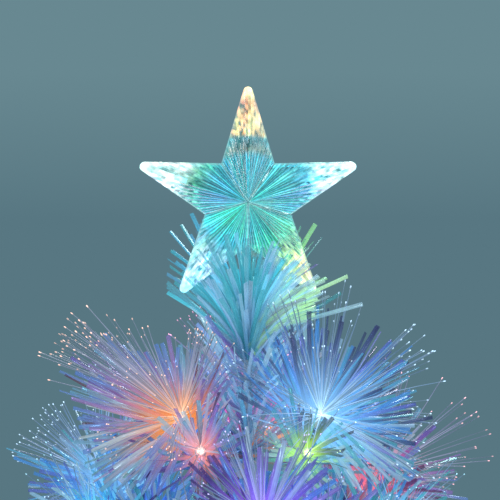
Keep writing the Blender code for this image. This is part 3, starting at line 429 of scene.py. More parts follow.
for which, profile in TUBES.items():
    tube = bmesh.new()
    turn(tube, profile, 72)
    fitted(finished(f"trunk_{which}_tube", tube, [coat]), "trunk", "painted_steel", f"pole_{which}")


# The lead runs up inside the trunk and leaves it at the back, through a grommet, in a moulded
# coupling with two brass pins and a knurled nut, where the supply lead screws on.
def moulded_plastic(name, colour, roughness):
    material, shader = new_finish(name, colour, roughness)
    place = own_place(material)
    cloud = grain(material, place, scale=120, detail=3)
    deep = (*(c * 0.88 for c in colour), 1)
    feed(material, shader, "Base Color", mixed(material, cloud, deep, (*colour, 1)))
    shader.inputs["Subsurface Weight"].default_value = 0.15
    shader.inputs["Subsurface Radius"].default_value = (0.003, 0.003, 0.003)
    rough_surface(material, shader, grain(material, place, scale=1600, detail=3), depth=0.00005)
    return material


def finish_since(shape, before, number):
    """The faces made after the first ones take the piece's material of that number."""
    shape.faces.ensure_lookup_table()
    for face in shape.faces[before:]:
        face.material_index = number


COUPLING_HEIGHT = 0.150
GROMMET = ((0, 0.0078), (0.0036, 0.0078), (0.0040, 0.0094), (0.0026, 0.0116), (0, 0.0122))
COUPLING_BODY = (
    (0, 0.0110),
    (0.0046, 0.0112),
    (0.0060, 0.0124),
    (0.0060, 0.0294),
    (0.0054, 0.0300),
    (0, 0.0300),
)
COUPLING_PIN = ((0, 0.0350), (0.0005, 0.0350), (0.0009, 0.0345), (0.0009, 0.0290), (0, 0.0290))
NUT_STEPS = 72
NUT_RADIUS = 0.0078
NUT_GROOVE = 0.0070
NUT_WIDTH = 0.008
NUT_MIDDLE = 0.0230
PIN_SPACING = 0.005
RISER_OFFSET = 0.0042
RISER = ((0, 0.632), (0.002, 0.632), (0.002, COUPLING_HEIGHT), (0, COUPLING_HEIGHT))
pale_plastic = moulded_plastic("pale_plastic", tone(216, 222, 226), 0.38)
brass = plated_steel("brass_pin", tone(214, 178, 108), 0.28)


def make_coupling():
    shape = bmesh.new()
    back = Matrix.Translation((0, 0, COUPLING_HEIGHT)) @ Matrix.Rotation(-math.pi / 2, 4, "X")
    turn(shape, GROMMET, 32, back)
    turn(shape, COUPLING_BODY, 40, back)
    nut = []
    for step in range(NUT_STEPS):
        angle = 2 * math.pi * step / NUT_STEPS
        grip = NUT_RADIUS if step % 3 else NUT_GROOVE
        nut.append((grip * math.cos(angle), grip * math.sin(angle)))
    plate(shape, nut, NUT_WIDTH, back @ Matrix.Translation((0, 0, NUT_MIDDLE)))
    turn(shape, RISER, 16, Matrix.Translation((0, RISER_OFFSET, 0)))
    before = len(shape.faces)
    for side in (-1, 1):
        turn(shape, COUPLING_PIN, 12, back @ Matrix.Translation((side * PIN_SPACING / 2, 0, 0)))
    finish_since(shape, before, 1)
    piece = finished("lead_coupling", shape, [pale_plastic, brass], edge=0.0002)
    fitted(piece, "trunk", "lead_plastic", "trunk_lead")


make_coupling()


# A collar is a moulded ring pressed on the trunk, with three notches in its crown. A ring wire
# lies in its groove, and three branch eyes hang on the wire. Its outer lip stops the rods.
TIER_HEIGHTS = (0.632, 0.556, 0.440, 0.310)
TIER_TURNS = tuple(math.radians(angle) for angle in (-25, 35, -15, 45))
COLLAR_BASE = (
    (0.0093, -0.0044),
    (0.0184, -0.0044),
    (0.0184, -0.0020),
    (0.0187, -0.0018),
    (0.0206, -0.0018),
    (0.0210, -0.0022),
    (0.0210, -0.0058),
    (0.0204, -0.0064),
    (0.0093, -0.0064),
)
COLLAR_CROWN = (
    (0.0093, 0.0048),
    (0.0152, 0.0048),
    (0.0160, 0.0040),
    (0.0160, 0.0013),
    (0.0127, 0.0013),
    (0.0127, -0.0013),
    (0.0160, -0.0013),
    (0.0160, -0.0045),
    (0.0093, -0.0045),
)
THIRD = 2 * math.pi / 3
HALF_NOTCH = math.radians(9)
RING_RADIUS = 0.014
WIRE_RADIUS = 0.001
ring_wire_steel = plated_steel("ring_wire_steel", tone(188, 192, 198), 0.35)


def make_collar(tier):
    number = tier + 1
    place = Matrix.Translation((0, 0, TIER_HEIGHTS[tier])) @ Matrix.Rotation(TIER_TURNS[tier], 4, "Z")
    shape = bmesh.new()
    turn(shape, COLLAR_BASE, 72, place)
    for branch in range(3):
        turn(shape, COLLAR_CROWN, 22, place, THIRD * branch + HALF_NOTCH, THIRD - 2 * HALF_NOTCH)
    collar = finished(f"collar_{number}_moulding", shape, [pale_plastic])
    fitted(collar, "trunk", "collar_plastic", f"collar_{number}")
    shape = bmesh.new()
    arc = [2 * math.pi * side / 8 for side in range(8)]
    section = [(RING_RADIUS + WIRE_RADIUS * math.cos(a), WIRE_RADIUS * math.sin(a)) for a in arc]
    turn(shape, section, 72, place)
    wire = finished(f"ring_{number}_wire", shape, [ring_wire_steel])
    fitted(wire, "trunk", "ring_steel", f"ring_wire_{number}")


for tier_number in range(4):
    make_collar(tier_number)


# A branch is a steel rod with a flattened eye, and its twigs are welded on. The rods are bright
# drawn wire, the CAD's own solids, and carry the film and the lights.
ROOT_LENGTH = 0.011
TIP_REACHES = (0.038, 0.094, 0.142, 0.182)
TIP_RISES = (0.056, 0.078, 0.066, 0.040)
STEM_SAG = 0.16
SIDE_ANGLES = (48, 42, 40, 46)
SIDE_LIFTS = (-14, -6, -10, -12)
SIDE_LENGTHS = (0.036, 0.056, 0.070, 0.076)
SIDE_FORKS = (0.42, 0.46, 0.52, 0.60)
INNER_ANGLES = (0, 0, 56, 58)
INNER_LIFTS = (0, 0, 14, 12)
INNER_LENGTHS = (0, 0, 0.058, 0.068)
INNER_FORKS = (0, 0, 0.22, 0.27)
FORK_STAGGER = 0.02
rod_wire = plated_steel("drawn_rod_wire", tone(176, 182, 190), 0.4)


def branch_place(tier, branch):
    spin = Matrix.Rotation(TIER_TURNS[tier] + THIRD * branch, 4, "Z")
    return spin @ Matrix.Translation((RING_RADIUS, 0, TIER_HEIGHTS[tier]))


def stem_line(tier):
    """The stem's bends, from the end of its level root to its tip, in the hinge's frame."""
    start = Vector((ROOT_LENGTH, 0, 0))
    end = Vector((TIP_REACHES[tier], 0, TIP_RISES[tier]))
    middle = (start + end) / 2 - Vector((0, 0, STEM_SAG * (end - start).length))
    shares = (0, 1 / 3, 2 / 3, 1)
    return [start.lerp(middle, share).lerp(middle.lerp(end, share), share) for share in shares]


def side_line(tier, side, fork, angle, lift, length):
    bends = stem_line(tier)
    place = 3 * (fork + side * FORK_STAGGER)
    run = min(int(place), 2)
    ahead = (bends[run + 1] - bends[run]).normalized()
    across = Vector((0, side, 0))
    upward = across.cross(ahead) * side
    if upward.z < 0:
        upward.negate()
    angle, lift = math.radians(angle), math.radians(lift)
    heading = ahead * math.cos(angle) + across * math.sin(angle)
    heading = (heading * math.cos(lift) + upward * math.sin(lift)).normalized()
    start = bends[run].lerp(bends[run + 1], place - run)
    return [start, start + heading * length]


def twig_lines(tier):
    """The stem, and then for each side its twig and its inner twig, with the number of its light's colour."""
    lines = [([Vector((0, 0, 0)), *stem_line(tier)], 0)]
    for side, light in ((-1, 1), (1, 2)):
        sizes = SIDE_FORKS[tier], SIDE_ANGLES[tier], SIDE_LIFTS[tier], SIDE_LENGTHS[tier]
        lines.append((side_line(tier, side, *sizes), light))
        if INNER_LENGTHS[tier]:
            sizes = INNER_FORKS[tier], INNER_ANGLES[tier], INNER_LIFTS[tier], INNER_LENGTHS[tier]
            lines.append((side_line(tier, side, *sizes), light))
    return lines


def lift_of(tier):
    line = Vector((TIP_REACHES[tier], 0, TIP_RISES[tier])).normalized()
    return Vector((-line.z, 0, line.x))


BRANCHES = [(tier, branch) for tier in range(4) for branch in range(3)]
for tier, branch in BRANCHES:
    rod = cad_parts[f"branch_{tier + 1}_{branch + 1}_rod"]
    rod.data.materials.clear()
    rod.data.materials.append(rod_wire)


# A light is a clear LED pressed into a short moulded holder at a twig's end. Its thin twin lead
# runs along under the rod. Each branch has lights of three colours, all lit.
LIGHT_TONES = {
    "amber": tone(255, 150, 52),
    "peach": tone(255, 156, 138),
    "ice": tone(136, 206, 255),
    "magenta": tone(255, 80, 180),
    "lime": tone(190, 255, 96),
    "cyan": tone(70, 222, 255),
    "rose": tone(255, 118, 128),
    "violet": tone(160, 120, 255),
    "green": tone(60, 232, 160),
    "blue": tone(70, 130, 255),
}
LIGHTS = (
    (("ice", "lime", "cyan"), ("magenta", "amber", "blue"), ("amber", "violet", "peach")),
    (("rose", "cyan", "violet"), ("ice", "blue", "cyan"), ("violet", "rose", "blue")),
    (("cyan", "amber", "magenta"), ("green", "blue", "rose"), ("violet", "lime", "ice")),
    (("amber", "ice", "blue"), ("magenta", "cyan", "green"), ("ice", "rose", "lime")),
)


def lit_lens(name, colour):
    material, shader = new_finish(f"lens_{name}", colour, roughness=0.1)
    place = own_place(material)
    cells = add_node(material, "TexVoronoi", {"Vector": place, "Scale": 900.0}).outputs["Distance"]
    white = (*(0.45 + 0.55 * c for c in colour), 1)
    feed(material, shader, "Emission Color", mixed(material, cells, white, (*colour, 1)))
    shader.inputs["Emission Strength"].default_value = 3.0
    material.cycles.emission_sampling = "NONE"
    return material


lenses = {name: lit_lens(name, colour) for name, colour in LIGHT_TONES.items()}


def heading_of(line):
    return (line[-1] - line[-2]).normalized()


def aimed(point, heading):
    """A place at the point, whose Z axis runs along the heading."""
    return Matrix.Translation(point) @ heading.to_track_quat("Z", "Y").to_matrix().to_4x4()


def bars(name, centres, across, sizes, section, u, v, material):
    """One closed bar along each row of centre points, as one mesh. Its section's points are scaled
    by the half sizes at each ring. u is given round the section and v along the bar."""
    count, rings, _ = centres.shape
    sides = len(section)
    tangent = np.gradient(centres, axis=1)
    tangent /= np.linalg.norm(tangent, axis=2, keepdims=True)
    across = across - (across * tangent).sum(axis=2, keepdims=True) * tangent
    across /= np.linalg.norm(across, axis=2, keepdims=True)
    thick = np.cross(tangent, across)
    section = np.asarray(section, float)
    wide_part = across[:, :, None] * (sizes[..., None, :1] * section[:, :1])
    thick_part = thick[:, :, None] * (sizes[..., None, 1:] * section[:, 1:])
    points = (centres[:, :, None] + wide_part + thick_part).reshape(-1, 3)
    first = (np.arange(count) * rings * sides)[:, None, None]
    near = first + (np.arange(rings - 1) * sides)[None, :, None]
    this = np.arange(sides)
    after = (this + 1) % sides
    corners = [near + this, near + after, near + sides + after, near + sides + this]
    walls = np.stack(corners, axis=-1).reshape(-1)
    caps = np.concatenate([first[:, 0] + this[::-1], first[:, 0] + this + (rings - 1) * sides])
    loops = np.concatenate([walls, caps.reshape(-1)])
    totals = np.concatenate([np.full(count * (rings - 1) * sides, 4), np.full(2 * count, sides)])
    mesh = bpy.data.meshes.new(name)
    mesh.vertices.add(len(points))
    mesh.vertices.foreach_set("co", points.astype(np.float32).ravel())
    mesh.loops.add(len(loops))
    mesh.loops.foreach_set("vertex_index", loops.astype(np.int32))
    mesh.polygons.add(len(totals))
    mesh.polygons.foreach_set("loop_start", np.concatenate([[0], np.cumsum(totals)[:-1]]).astype(np.int32))
    mesh.update(calc_edges=True)
    table = np.empty((count, rings, sides, 2))
    table[..., 0] = np.broadcast_to(u, (count, sides))[:, None, :]
    table[..., 1] = np.broadcast_to(v, (count, rings))[:, :, None]
    layer = mesh.uv_layers.new(name="OFBake")
    layer.uv.foreach_set("vector", table.reshape(-1, 2)[loops].astype(np.float32).ravel())
    mesh.validate()
    return as_piece(name, mesh, [material])


ROUND = [(math.cos(math.pi * side / 3), math.sin(math.pi * side / 3)) for side in range(6)]
HOLDER_LENGTH = 0.009
HOLDER_CUP = (
    (0.0021, -0.0006),
    (0.0031, 0.0),
    (0.0037, -0.0006),
    (0.0037, -0.0030),
    (0.0034, -0.0034),
    (0.0037, -0.0038),
    (0.0037, -0.0080),
    (0.0030, -HOLDER_LENGTH),
    (0, -HOLDER_LENGTH),
    (0, -0.0012),
    (0.0021, -0.0012),
)
LED_DOME = (
    (0, 0.0012),
    (0.0009, 0.0010),
    (0.0016, 0.0004),
    (0.0020, -0.0005),
    (0.0020, -0.0011),
    (0, -0.0011),
)
TWIN_LEAD_RADIUS = 0.0007
TWIN_LEAD_DROP = 0.0015


def make_holders(tier, branch):
    name = f"branch_{tier + 1}_{branch + 1}"
    place = branch_place(tier, branch)
    shape = bmesh.new()
    leads = []
    for line, light in twig_lines(tier):
        heading = heading_of(line)
        tip = place @ aimed(line[-1], heading)
        turn(shape, HOLDER_CUP, 24, tip)
        before = len(shape.faces)
        turn(shape, LED_DOME, 20, tip)
        finish_since(shape, before, 1 + light)
        end = line[-1] - heading * HOLDER_LENGTH / 2
        straight = [line[0].lerp(end, share) for share in (0, 1 / 3, 2 / 3, 1)]
        path = [*line[1:-1], end] if len(line) > 2 else straight
        drop = lift_of(tier) * -TWIN_LEAD_DROP
        for side in (-1, 1):
            aside = heading.cross(lift_of(tier)).normalized() * side * TWIN_LEAD_RADIUS
            leads.append([place @ (point + drop + aside) for point in path])
    own_lenses = [lenses[light] for light in LIGHTS[tier][branch]]
    holders = finished(f"{name}_led_holders", shape, [pale_plastic, *own_lenses])
    fitted(holders, name, "optical_fibre", f"{name}_lights")
    rows = np.array(leads)
    across = np.cross(np.gradient(rows, axis=1), (0.1, 0.2, 1.0))
    sizes = np.full((*rows.shape[:2], 2), TWIN_LEAD_RADIUS)
    around, along = np.linspace(0.1, 0.9, len(ROUND)), np.linspace(0, 1, rows.shape[1])
    wires = bars(f"{name}_twin_lead", rows, across, sizes, ROUND, around, along, pale_plastic)
    wires.data.shade_smooth()
    fitted(wires, name, "lead_plastic")


for tier, branch in BRANCHES:
    make_holders(tier, branch)


# The burst is a bundle of side-glowing acrylic fibres, glued over each LED and spread by hand
# into tufts. A fibre is bright at its root, faint along its length and ends in a bright dot.
FIBRE_RADIUS = 0.00022
FIBRE_MARKS = np.array([0, 0.12, 0.3, 0.55, 0.78, 0.982, 0.988, 1.0])
FIBRE_SWELLS = np.array([1.1, 1, 1, 0.95, 0.9, 0.85, 1.3, 1.1])
FIBRE_LENGTHS = ((0.086, 0.040), (0.082, 0.064), (0.080, 0.070), (0.078, 0.072))
FIBRES_PER_TUFT = ((13, 2), (9, 5), (8, 6), (8, 6))
FIBRE_START = 0.0012
BURST_ANGLE = math.radians(85)
SQUARE = [(-1, -1), (1, -1), (1, 1), (-1, 1)]
# Bursts spread to one side: the side, and the lengths' share away from it and towards it.
LONG_SIDES = {(0, 1): (1, 0.66, 1.0), (0, 2): (-1, 0.72, 1.22)}
# Stray fibres beside a burst: how many, the longest one's length and where they point.
STRAY_TUFTS = {(0, 2): (56, 0.087, (-0.76, -0.1, 0.62)), (1, 1): (40, 0.062, (-0.62, 0.1, 0.72))}


def steps_of(material, value, stops, blend):
    """Colours at places from 0 to 1, held or blended between them."""
    ramp = add_node(material, "ValToRGB", {"Fac": value})
    ramp.color_ramp.interpolation = "LINEAR" if blend else "CONSTANT"
    while len(ramp.color_ramp.elements) < len(stops):
        ramp.color_ramp.elements.new(0.5)
    for element, (place, colour) in zip(ramp.color_ramp.elements, stops):
        element.position = place
        element.color = (*colour, 1) if hasattr(colour, "__len__") else (colour, colour, colour, 1)
    return ramp.outputs[0]


def times(material, colour, shade):
    """One colour times another, or times a value."""
    node = add_node(material, "Mix", {0: 1.0, 6: colour, 7: shade}, data_type="RGBA", blend_type="MULTIPLY")
    return node.outputs[2]


def strand_place(material):
    """The UV map's two parts: u round a strand or across a strip, and v along it."""
    place = add_node(material, "UVMap", uv_map="OFBake").outputs[0]
    return place, add_node(material, "SeparateXYZ", {0: place}).outputs


def fibre_finish(lights):
    """Acrylic fibre lit by three lights. The UV map's u says which light, and v is 1 at the fibre's end."""
    material, shader = new_finish("fibre_" + "_".join(lights), tone(92, 124, 138), roughness=0.2)
    _, parts = strand_place(material)
    colours = [(number / 3, LIGHT_TONES[name]) for number, name in enumerate(lights)]
    colour = steps_of(material, parts["X"], colours, False)
    paling = steps_of(material, parts["Y"], [(0.15, 0), (0.5, 0.8), (0.965, 0.8), (0.975, 0.1)], True)
    colour = mixed(material, paling, colour, (*tone(136, 168, 226), 1))
    whitening = steps_of(material, parts["Y"], [(0, 0.5), (0.12, 0.2), (0.9, 0.05), (0.978, 0.35)], True)
    brightness = steps_of(
        material,
        parts["Y"],
        [(0, 1.0), (0.08, 0.8), (0.22, 0.56), (0.45, 0.42), (0.7, 0.28), (0.97, 0.17), (0.978, 1.0)],
        True,
    )
    own = math_of(material, "FRACT", math_of(material, "MULTIPLY", parts["X"], 61.0))
    own = math_of(material, "MULTIPLY", brightness, math_of(material, "ADD", own, 0.3))
    glow = mixed(material, whitening, colour, (1, 1, 1, 1))
    feed(material, shader, "Emission Color", times(material, glow, own))
    shader.inputs["Emission Strength"].default_value = 1.5
    material.cycles.emission_sampling = "NONE"
    return material


def tuft_headings(heading, most):
    """Where a burst's tufts point: the faces of a 20-sided head that look forward."""
    head = bmesh.new()
    bmesh.ops.create_icosphere(head, subdivisions=1, radius=1, matrix=aimed((0, 0, 0), heading))
    normals = [face.normal.copy() for face in head.faces]
    head.free()
    near = [normal for normal in normals if normal.angle(heading) < BURST_ANGLE]
    return sorted(near, key=lambda normal: round(normal.angle(heading), 2))[:most]


def press_flat(piece, tier, points):
    """The top branches press on the leader when they fold up. Here a top branch's piece only gets its own
    copy of its mesh. The points are not used.
    """
    if tier > 0:
        return
    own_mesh(piece)


def spread_to_side(headings, tier, branch):
    """How much longer a burst is at each heading. Two of the top bursts are spread to one side by hand."""
    side, least, most = LONG_SIDES.get((tier, branch), (1, 1.0, 1.0))
    return np.interp(headings[:, 0] * side, (0.1, 0.8), (least, most))


def make_fibres(tier, branch):
    name = f"branch_{tier + 1}_{branch + 1}"
    random = np.random.default_rng(100 + 10 * tier + branch)
    place = branch_place(tier, branch)
    spin = place.to_3x3()
    roots, headings, lengths, lights = [], [], [], []
    for line, light in twig_lines(tier):
        twig = 1 if light else 0
        for aim in tuft_headings(heading_of(line), 5 if tier == 0 and light else 9):
            tuft_length = FIBRE_LENGTHS[tier][twig] * random.choice((0.55, 0.8, 0.94, 1.0))
            spread = random.uniform(0.06, 0.16)
            for _ in range(FIBRES_PER_TUFT[tier][twig]):
                heading = (aim + Vector(random.normal(0, spread, 3))).normalized()
                start = line[-1] + heading * FIBRE_START
                roots.append(place @ (start + Vector(random.normal(0, 0.0005, 3))))
                headings.append(spin @ heading)
                lengths.append(tuft_length * random.uniform(0.88, 1.0))
                lights.append(light)
    count, longest, aim = STRAY_TUFTS.get((tier, branch), (0, 0, (0, 0, 1)))
    for _ in range(count):
        heading = (Vector(aim) + Vector(random.normal(0, 0.15, 3))).normalized()
        roots.append(place @ stem_line(tier)[-1] + heading * FIBRE_START)
        headings.append(heading)
        lengths.append(longest * random.uniform(0.78, 1.0))
        lights.append(0)
    roots, headings = np.array(roots), np.array(headings)
    lengths = np.array(lengths) * (0.4 + 0.6 * spread_to_side(headings, tier, branch))
    bend = random.normal(0, 0.03, roots.shape)
    bend[:, 2] -= 0.07 * np.abs(1 - headings[:, 2])
    along = FIBRE_MARKS[None, :, None] * lengths[:, None, None]
    centres = roots[:, None] + headings[:, None] * along + bend[:, None] * along * FIBRE_MARKS[None, :, None]
    across = np.cross(headings, random.normal(0, 1, roots.shape))[:, None]
    thickness = (FIBRE_RADIUS * FIBRE_SWELLS)[None, :, None]
    sizes = np.broadcast_to(thickness, (len(roots), len(FIBRE_MARKS), 2))
    lane = random.uniform(0.08, 0.86, (len(roots), 1))
    u = (np.array(lights)[:, None] + lane + np.array([0, 0.004, 0.008, 0.004])) / 3
    v = 0.01 + 0.98 * FIBRE_MARKS
    piece = bars(f"{name}_fibres", centres, across, sizes, SQUARE, u, v, fibre_finish(LIGHTS[tier][branch]))
    piece.data.shade_smooth()
    fitted(piece, name, "optical_fibre", f"{name}_lights")
    press_flat(piece, tier, [line[-1] for line, _ in twig_lines(tier)])


for tier, branch in BRANCHES:
    make_fibres(tier, branch)


# The film is iridescent polyester, slit into strips and bound along the rods like tinsel. It is
# fullest behind each light, and the light's colour on it is painted light in its emission. The strips
# shift from violet to cyan, and their darkest hues are painted shade.
STRIP_WIDTH = 0.0031
STRIP_THICKNESS = 0.00025
STRIP_MARKS = np.array([0, 0.3, 0.65, 1.0])
STRIP_SWELLS = np.array([0.45, 1, 1, 0.96])
FILM_OPACITY = 0.56
NEAR_GLOW = ((0, 1.0), (0.2, 0.78), (0.45, 0.4), (0.72, 0.13), (1.0, 0.04))
# Each hue's dark and its pale end. The dark ends, and the darkest hues, are painted shade.
HUES = (
    (tone(104, 156, 206), tone(186, 224, 250)),
    (tone(52, 124, 178), tone(112, 204, 240)),
    (tone(44, 118, 138), tone(104, 198, 206)),
    (tone(70, 60, 156), tone(88, 168, 244)),
    (tone(64, 50, 130), tone(112, 120, 218)),
    (tone(58, 56, 116), tone(66, 58, 120)),
    (tone(112, 76, 162), tone(156, 150, 228)),
    (tone(116, 168, 196), tone(200, 236, 246)),
)
# The hues by likeness, so that strips side by side differ little.
HUE_ORDER = np.array((5, 4, 3, 1, 2, 0, 7, 6))
# A lane of the UV map stands for one of three lights, three distances from it for its painted glow, and a
# hue.
LANES = 3 * 3 * len(HUES)


def film_finish(name, lights, opacity=FILM_OPACITY, glow_along=NEAR_GLOW):
    """Film in lanes of the UV map: its light, how near the light is, and its hue, all by u. The light's glow
    and a faint glow of the film's own colour are painted into its emission.
    """
    material, shader = new_finish(name, tone(100, 170, 200), roughness=0.16, metallic=0.25)
    place, parts = strand_place(material)
    lanes = math_of(material, "MULTIPLY", parts["X"], LANES)
    lane = math_of(material, "FLOOR", lanes)
    across = math_of(material, "FRACT", lanes)
    hue = math_of(material, "DIVIDE", math_of(material, "MODULO", lane, len(HUES)), len(HUES))
    hue = math_of(material, "ADD", hue, 0.06)
    light = math_of(material, "ADD", math_of(material, "DIVIDE", lane, LANES), 0.005)
    near = math_of(material, "FRACT", math_of(material, "MULTIPLY", light, 3))
    dark, pale = (
        steps_of(material, hue, [(n / len(HUES), pair[end]) for n, pair in enumerate(HUES)], False)
        for end in (0, 1)
    )
    crinkle = grain(material, place, scale=1.0, detail=3, stretch=(LANES * 1.5, 9, 1))
    painted_streaks = grain(material, place, scale=1.0, detail=2, stretch=(LANES * 9, 2.5, 1))
    # Strips are darker towards their roots, painted shade in the thick of the brush, and paler at their ends.
    fade = math_of(material, "MULTIPLY_ADD", parts["Y"], 2.2, -0.85)
    fade = add_node(material, "Math", {0: fade, 1: crinkle}, operation="ADD", use_clamp=True)
    colour = mixed(material, fade.outputs[0], dark, pale)
    # The streaks are painted shade and highlight along the strips, on their colour and on their painted glow.
    shade = steps_of(material, painted_streaks, [(0.3, 0.62), (0.5, 0.95), (0.7, 1.0)], True)
    feed(material, shader, "Base Color", times(material, colour, shade))
    # Painted light: each light's glow on the strips, strongest near it, and a faint glow of the film's own
    # colour, all in the emission.
    light_stops = [(number / 3, LIGHT_TONES[lit]) for number, lit in enumerate(lights)]
    light_colour = steps_of(material, light, light_stops, False)
    reach = steps_of(material, near, [(0, 0.0), (0.333, 0.35), (0.667, 1.0)], False)
    painted_led_glow = math_of(material, "MULTIPLY", reach, steps_of(material, parts["Y"], glow_along, True))
    painted_led_glow = math_of(material, "MULTIPLY", painted_led_glow, shade)
    painted_own_glow = times(material, colour, (0.11, 0.11, 0.11, 1))
    feed(material, shader, "Emission Color", mixed(material, painted_led_glow, painted_own_glow, light_colour))
    shader.inputs["Emission Strength"].default_value = 1.15
    shader.inputs["Alpha"].default_value = opacity
    shader.inputs["Thin Film Thickness"].default_value = 420.0
    shader.inputs["Thin Film IOR"].default_value = 1.5
    rough_surface(material, shader, math_of(material, "ADD", crinkle, across), depth=0.0003)
    material.cycles.emission_sampling = "NONE"
    return material


# Strips: where they start, their headings, their widths' directions, how they bend, their lengths.
Fan = namedtuple("Fan", "roots headings sides bends lengths")


def strip_fan(random, line, begin, count, leans, lengths):
    """Strips round a line of points, from a share of its length on. They lean off the line by the
    first lean at its start and the second at its end, in degrees, give or take the third."""
    points = np.array(line)
    runs = np.linalg.norm(np.diff(points, axis=0), axis=1)
    marks = np.concatenate([[0], np.cumsum(runs)])
    share = begin + (1 - begin) * (np.arange(count) + random.uniform(0, 1, count)) / count
    run = np.clip(np.searchsorted(marks, share * marks[-1], side="right") - 1, 0, len(runs) - 1)
    tangent = np.diff(points, axis=0)[run] / runs[run][:, None]
    roots = points[run] + tangent * (share * marks[-1] - marks[run])[:, None]
    first = np.cross(tangent, (0.03, 0.05, 1.0))
    first /= np.linalg.norm(first, axis=1, keepdims=True)
    second = np.cross(tangent, first)
    turned = np.arange(count) * math.radians(137.5) + random.normal(0, 0.35, count)
    radial = first * np.cos(turned)[:, None] + second * np.sin(turned)[:, None]
    lean = leans[0] + (leans[1] - leans[0]) * share + random.normal(0, leans[2], count)
    lean = np.radians(lean)[:, None]
    headings = tangent * np.cos(lean) + radial * np.sin(lean)
    bends = tangent * random.uniform(0.05, 0.3, (count, 1)) + random.normal(0, 0.09, (count, 3))
    bends[:, 2] -= 0.06
    lengths = random.uniform(lengths[0], lengths[1], count)
    return Fan(roots + radial * 0.0012, headings, np.cross(tangent, radial), bends, lengths)


def some_of(fan, chosen):
    return Fan(*(part[chosen] for part in fan))


def hues_of(random, headings, weights, shaded_side=(0, 0, -1)):
    """Hues shared out by weight. Strips that point the same way have like hues, and the darkest hues, painted
    shade, go to strips that point towards the shaded side.
    """
    order = np.sin(headings @ random.normal(0, 2.4, (3, 4)) + random.uniform(0, 6.28, 4)).sum(axis=1)
    order += random.normal(0, 0.55, len(headings)) - 1.3 * headings @ np.array(shaded_side)
    ranks = np.argsort(np.argsort(order)) / len(order)
    shares = np.cumsum(np.array(weights, float)[HUE_ORDER])
    return HUE_ORDER[np.searchsorted(shares / shares[-1], ranks, side="right")]


def strips(name, random, fans, hues, nearness, lights, finish):
    """All of a branch's strips as one piece, each with its own twist."""
    roots, headings, sides, bends, lengths = (np.concatenate(part) for part in zip(*fans))
    count = len(roots)
    marks = STRIP_MARKS[None, :, None]
    along = marks * lengths[:, None, None]
    centres = roots[:, None] + headings[:, None] * along + bends[:, None] * along * marks
    roll = random.normal(0, 0.45, count)[:, None] + random.normal(0, 0.7, count)[:, None] * STRIP_MARKS[None]
    other = np.cross(headings, sides)
    across = sides[:, None] * np.cos(roll)[..., None] + other[:, None] * np.sin(roll)[..., None]
    widths = STRIP_WIDTH * random.uniform(0.75, 1.1, count)[:, None] * STRIP_SWELLS / 2
    sizes = np.stack([widths, np.full_like(widths, STRIP_THICKNESS / 2)], axis=-1)
    lane = (lights * 3 + nearness) * len(HUES) + hues
    u = (lane[:, None] + np.array([0.12, 0.88, 0.88, 0.12])) / LANES
    return bars(name, centres, across, sizes, SQUARE, u, 0.02 + 0.96 * STRIP_MARKS, finish)


FILM_BEGINS = (0.30, 0.14, 0.10, 0.09)
TWIG_FILM_BEGIN = 0.06
FILM_RISE = 0.0013
BRUSH_LEANS = (56, 44, 7)
FAN_LEANS = (88, 52, 9)
TOP_TWIG_FAN_LEANS = (62, 36, 9)
HOLDER_GAP = 0.001
FAN_OVERLAP = 0.006
FAN_END_GAP = 0.002
STRIPS_PER_METRE = 1250
NEAR_A_LIGHT = 0.019
SOME_WAY_OFF = 0.034
BRUSH_HUES = (
    ((3, 5, 3, 3, 1, 1, 1, 4), (4, 5, 5, 1, 0, 0, 2, 5), (3, 5, 2, 5, 3, 3, 1, 2)),
    ((3, 6, 4, 3, 1, 1, 1, 4), (3, 6, 2, 6, 2, 1, 1, 3), (2, 4, 2, 5, 4, 3, 3, 1)),
    ((3, 5, 4, 4, 2, 1, 1, 3), (3, 5, 3, 4, 3, 2, 2, 2), (3, 5, 3, 4, 3, 2, 2, 2)),
    ((3, 5, 4, 4, 2, 1, 1, 3), (3, 5, 3, 4, 3, 2, 2, 2), (3, 5, 3, 4, 3, 2, 2, 2)),
)
FAN_HUES = (
    ((2, 3, 1, 3, 3, 7, 0, 2), (4, 5, 5, 1, 0, 0, 1, 4), (2, 3, 0, 10, 4, 2, 2, 1)),
    ((2, 3, 4, 2, 3, 3, 1, 2), (3, 6, 2, 6, 3, 1, 1, 2), (1, 2, 1, 4, 5, 5, 2, 1)),
    ((2, 4, 3, 4, 3, 2, 1, 2), (2, 4, 3, 4, 3, 2, 1, 2), (2, 4, 3, 4, 3, 2, 1, 2)),
    ((2, 4, 3, 4, 3, 2, 1, 2), (2, 4, 3, 4, 3, 2, 1, 2), (2, 4, 3, 4, 3, 2, 1, 2)),
)
CONE_HUES = (((1, 2, 1, 4, 4, 7, 1, 0), (2, 5, 5, 2, 1, 1, 1, 3), (1, 3, 0, 10, 4, 1, 2, 0)),)
VEIL_HUES = (((6, 4, 4, 1, 0, 0, 1, 6), (4, 3, 4, 2, 0, 0, 1, 3), (4, 6, 1, 6, 0, 0, 1, 2)),)
STEM_FANS = ((170, 0.057), (126, 0.053), (116, 0.052), (110, 0.051))
TWIG_FANS = ((34, 0.030), (68, 0.047), (74, 0.048), (74, 0.048))
BRUSH_LENGTHS = ((0.030, 0.042), (0.036, 0.052), (0.040, 0.060), (0.040, 0.060))
# Where a branch's darkest strips, its painted shade, point, if that isn't down.
SHADED_SIDES = {(0, 0): (0.9, 0.3, 0.9)}
# On top, strips that point further to the front than this are combed aside, and show the lights.
CONE_FRONT = -0.35
FAN_FRONT = -0.3
CONE_COUNT = 170
VEIL_COUNT = 50
COMBED_DEPTH = 0.018
THINNED_BRANCH = 2


def thinned(random, fan):
    """Few of the fan's strips stay on its side towards the leader."""
    return some_of(fan, (fan.headings[:, 0] < 0.1) | (random.uniform(0, 1, len(fan.roots)) < 0.3))


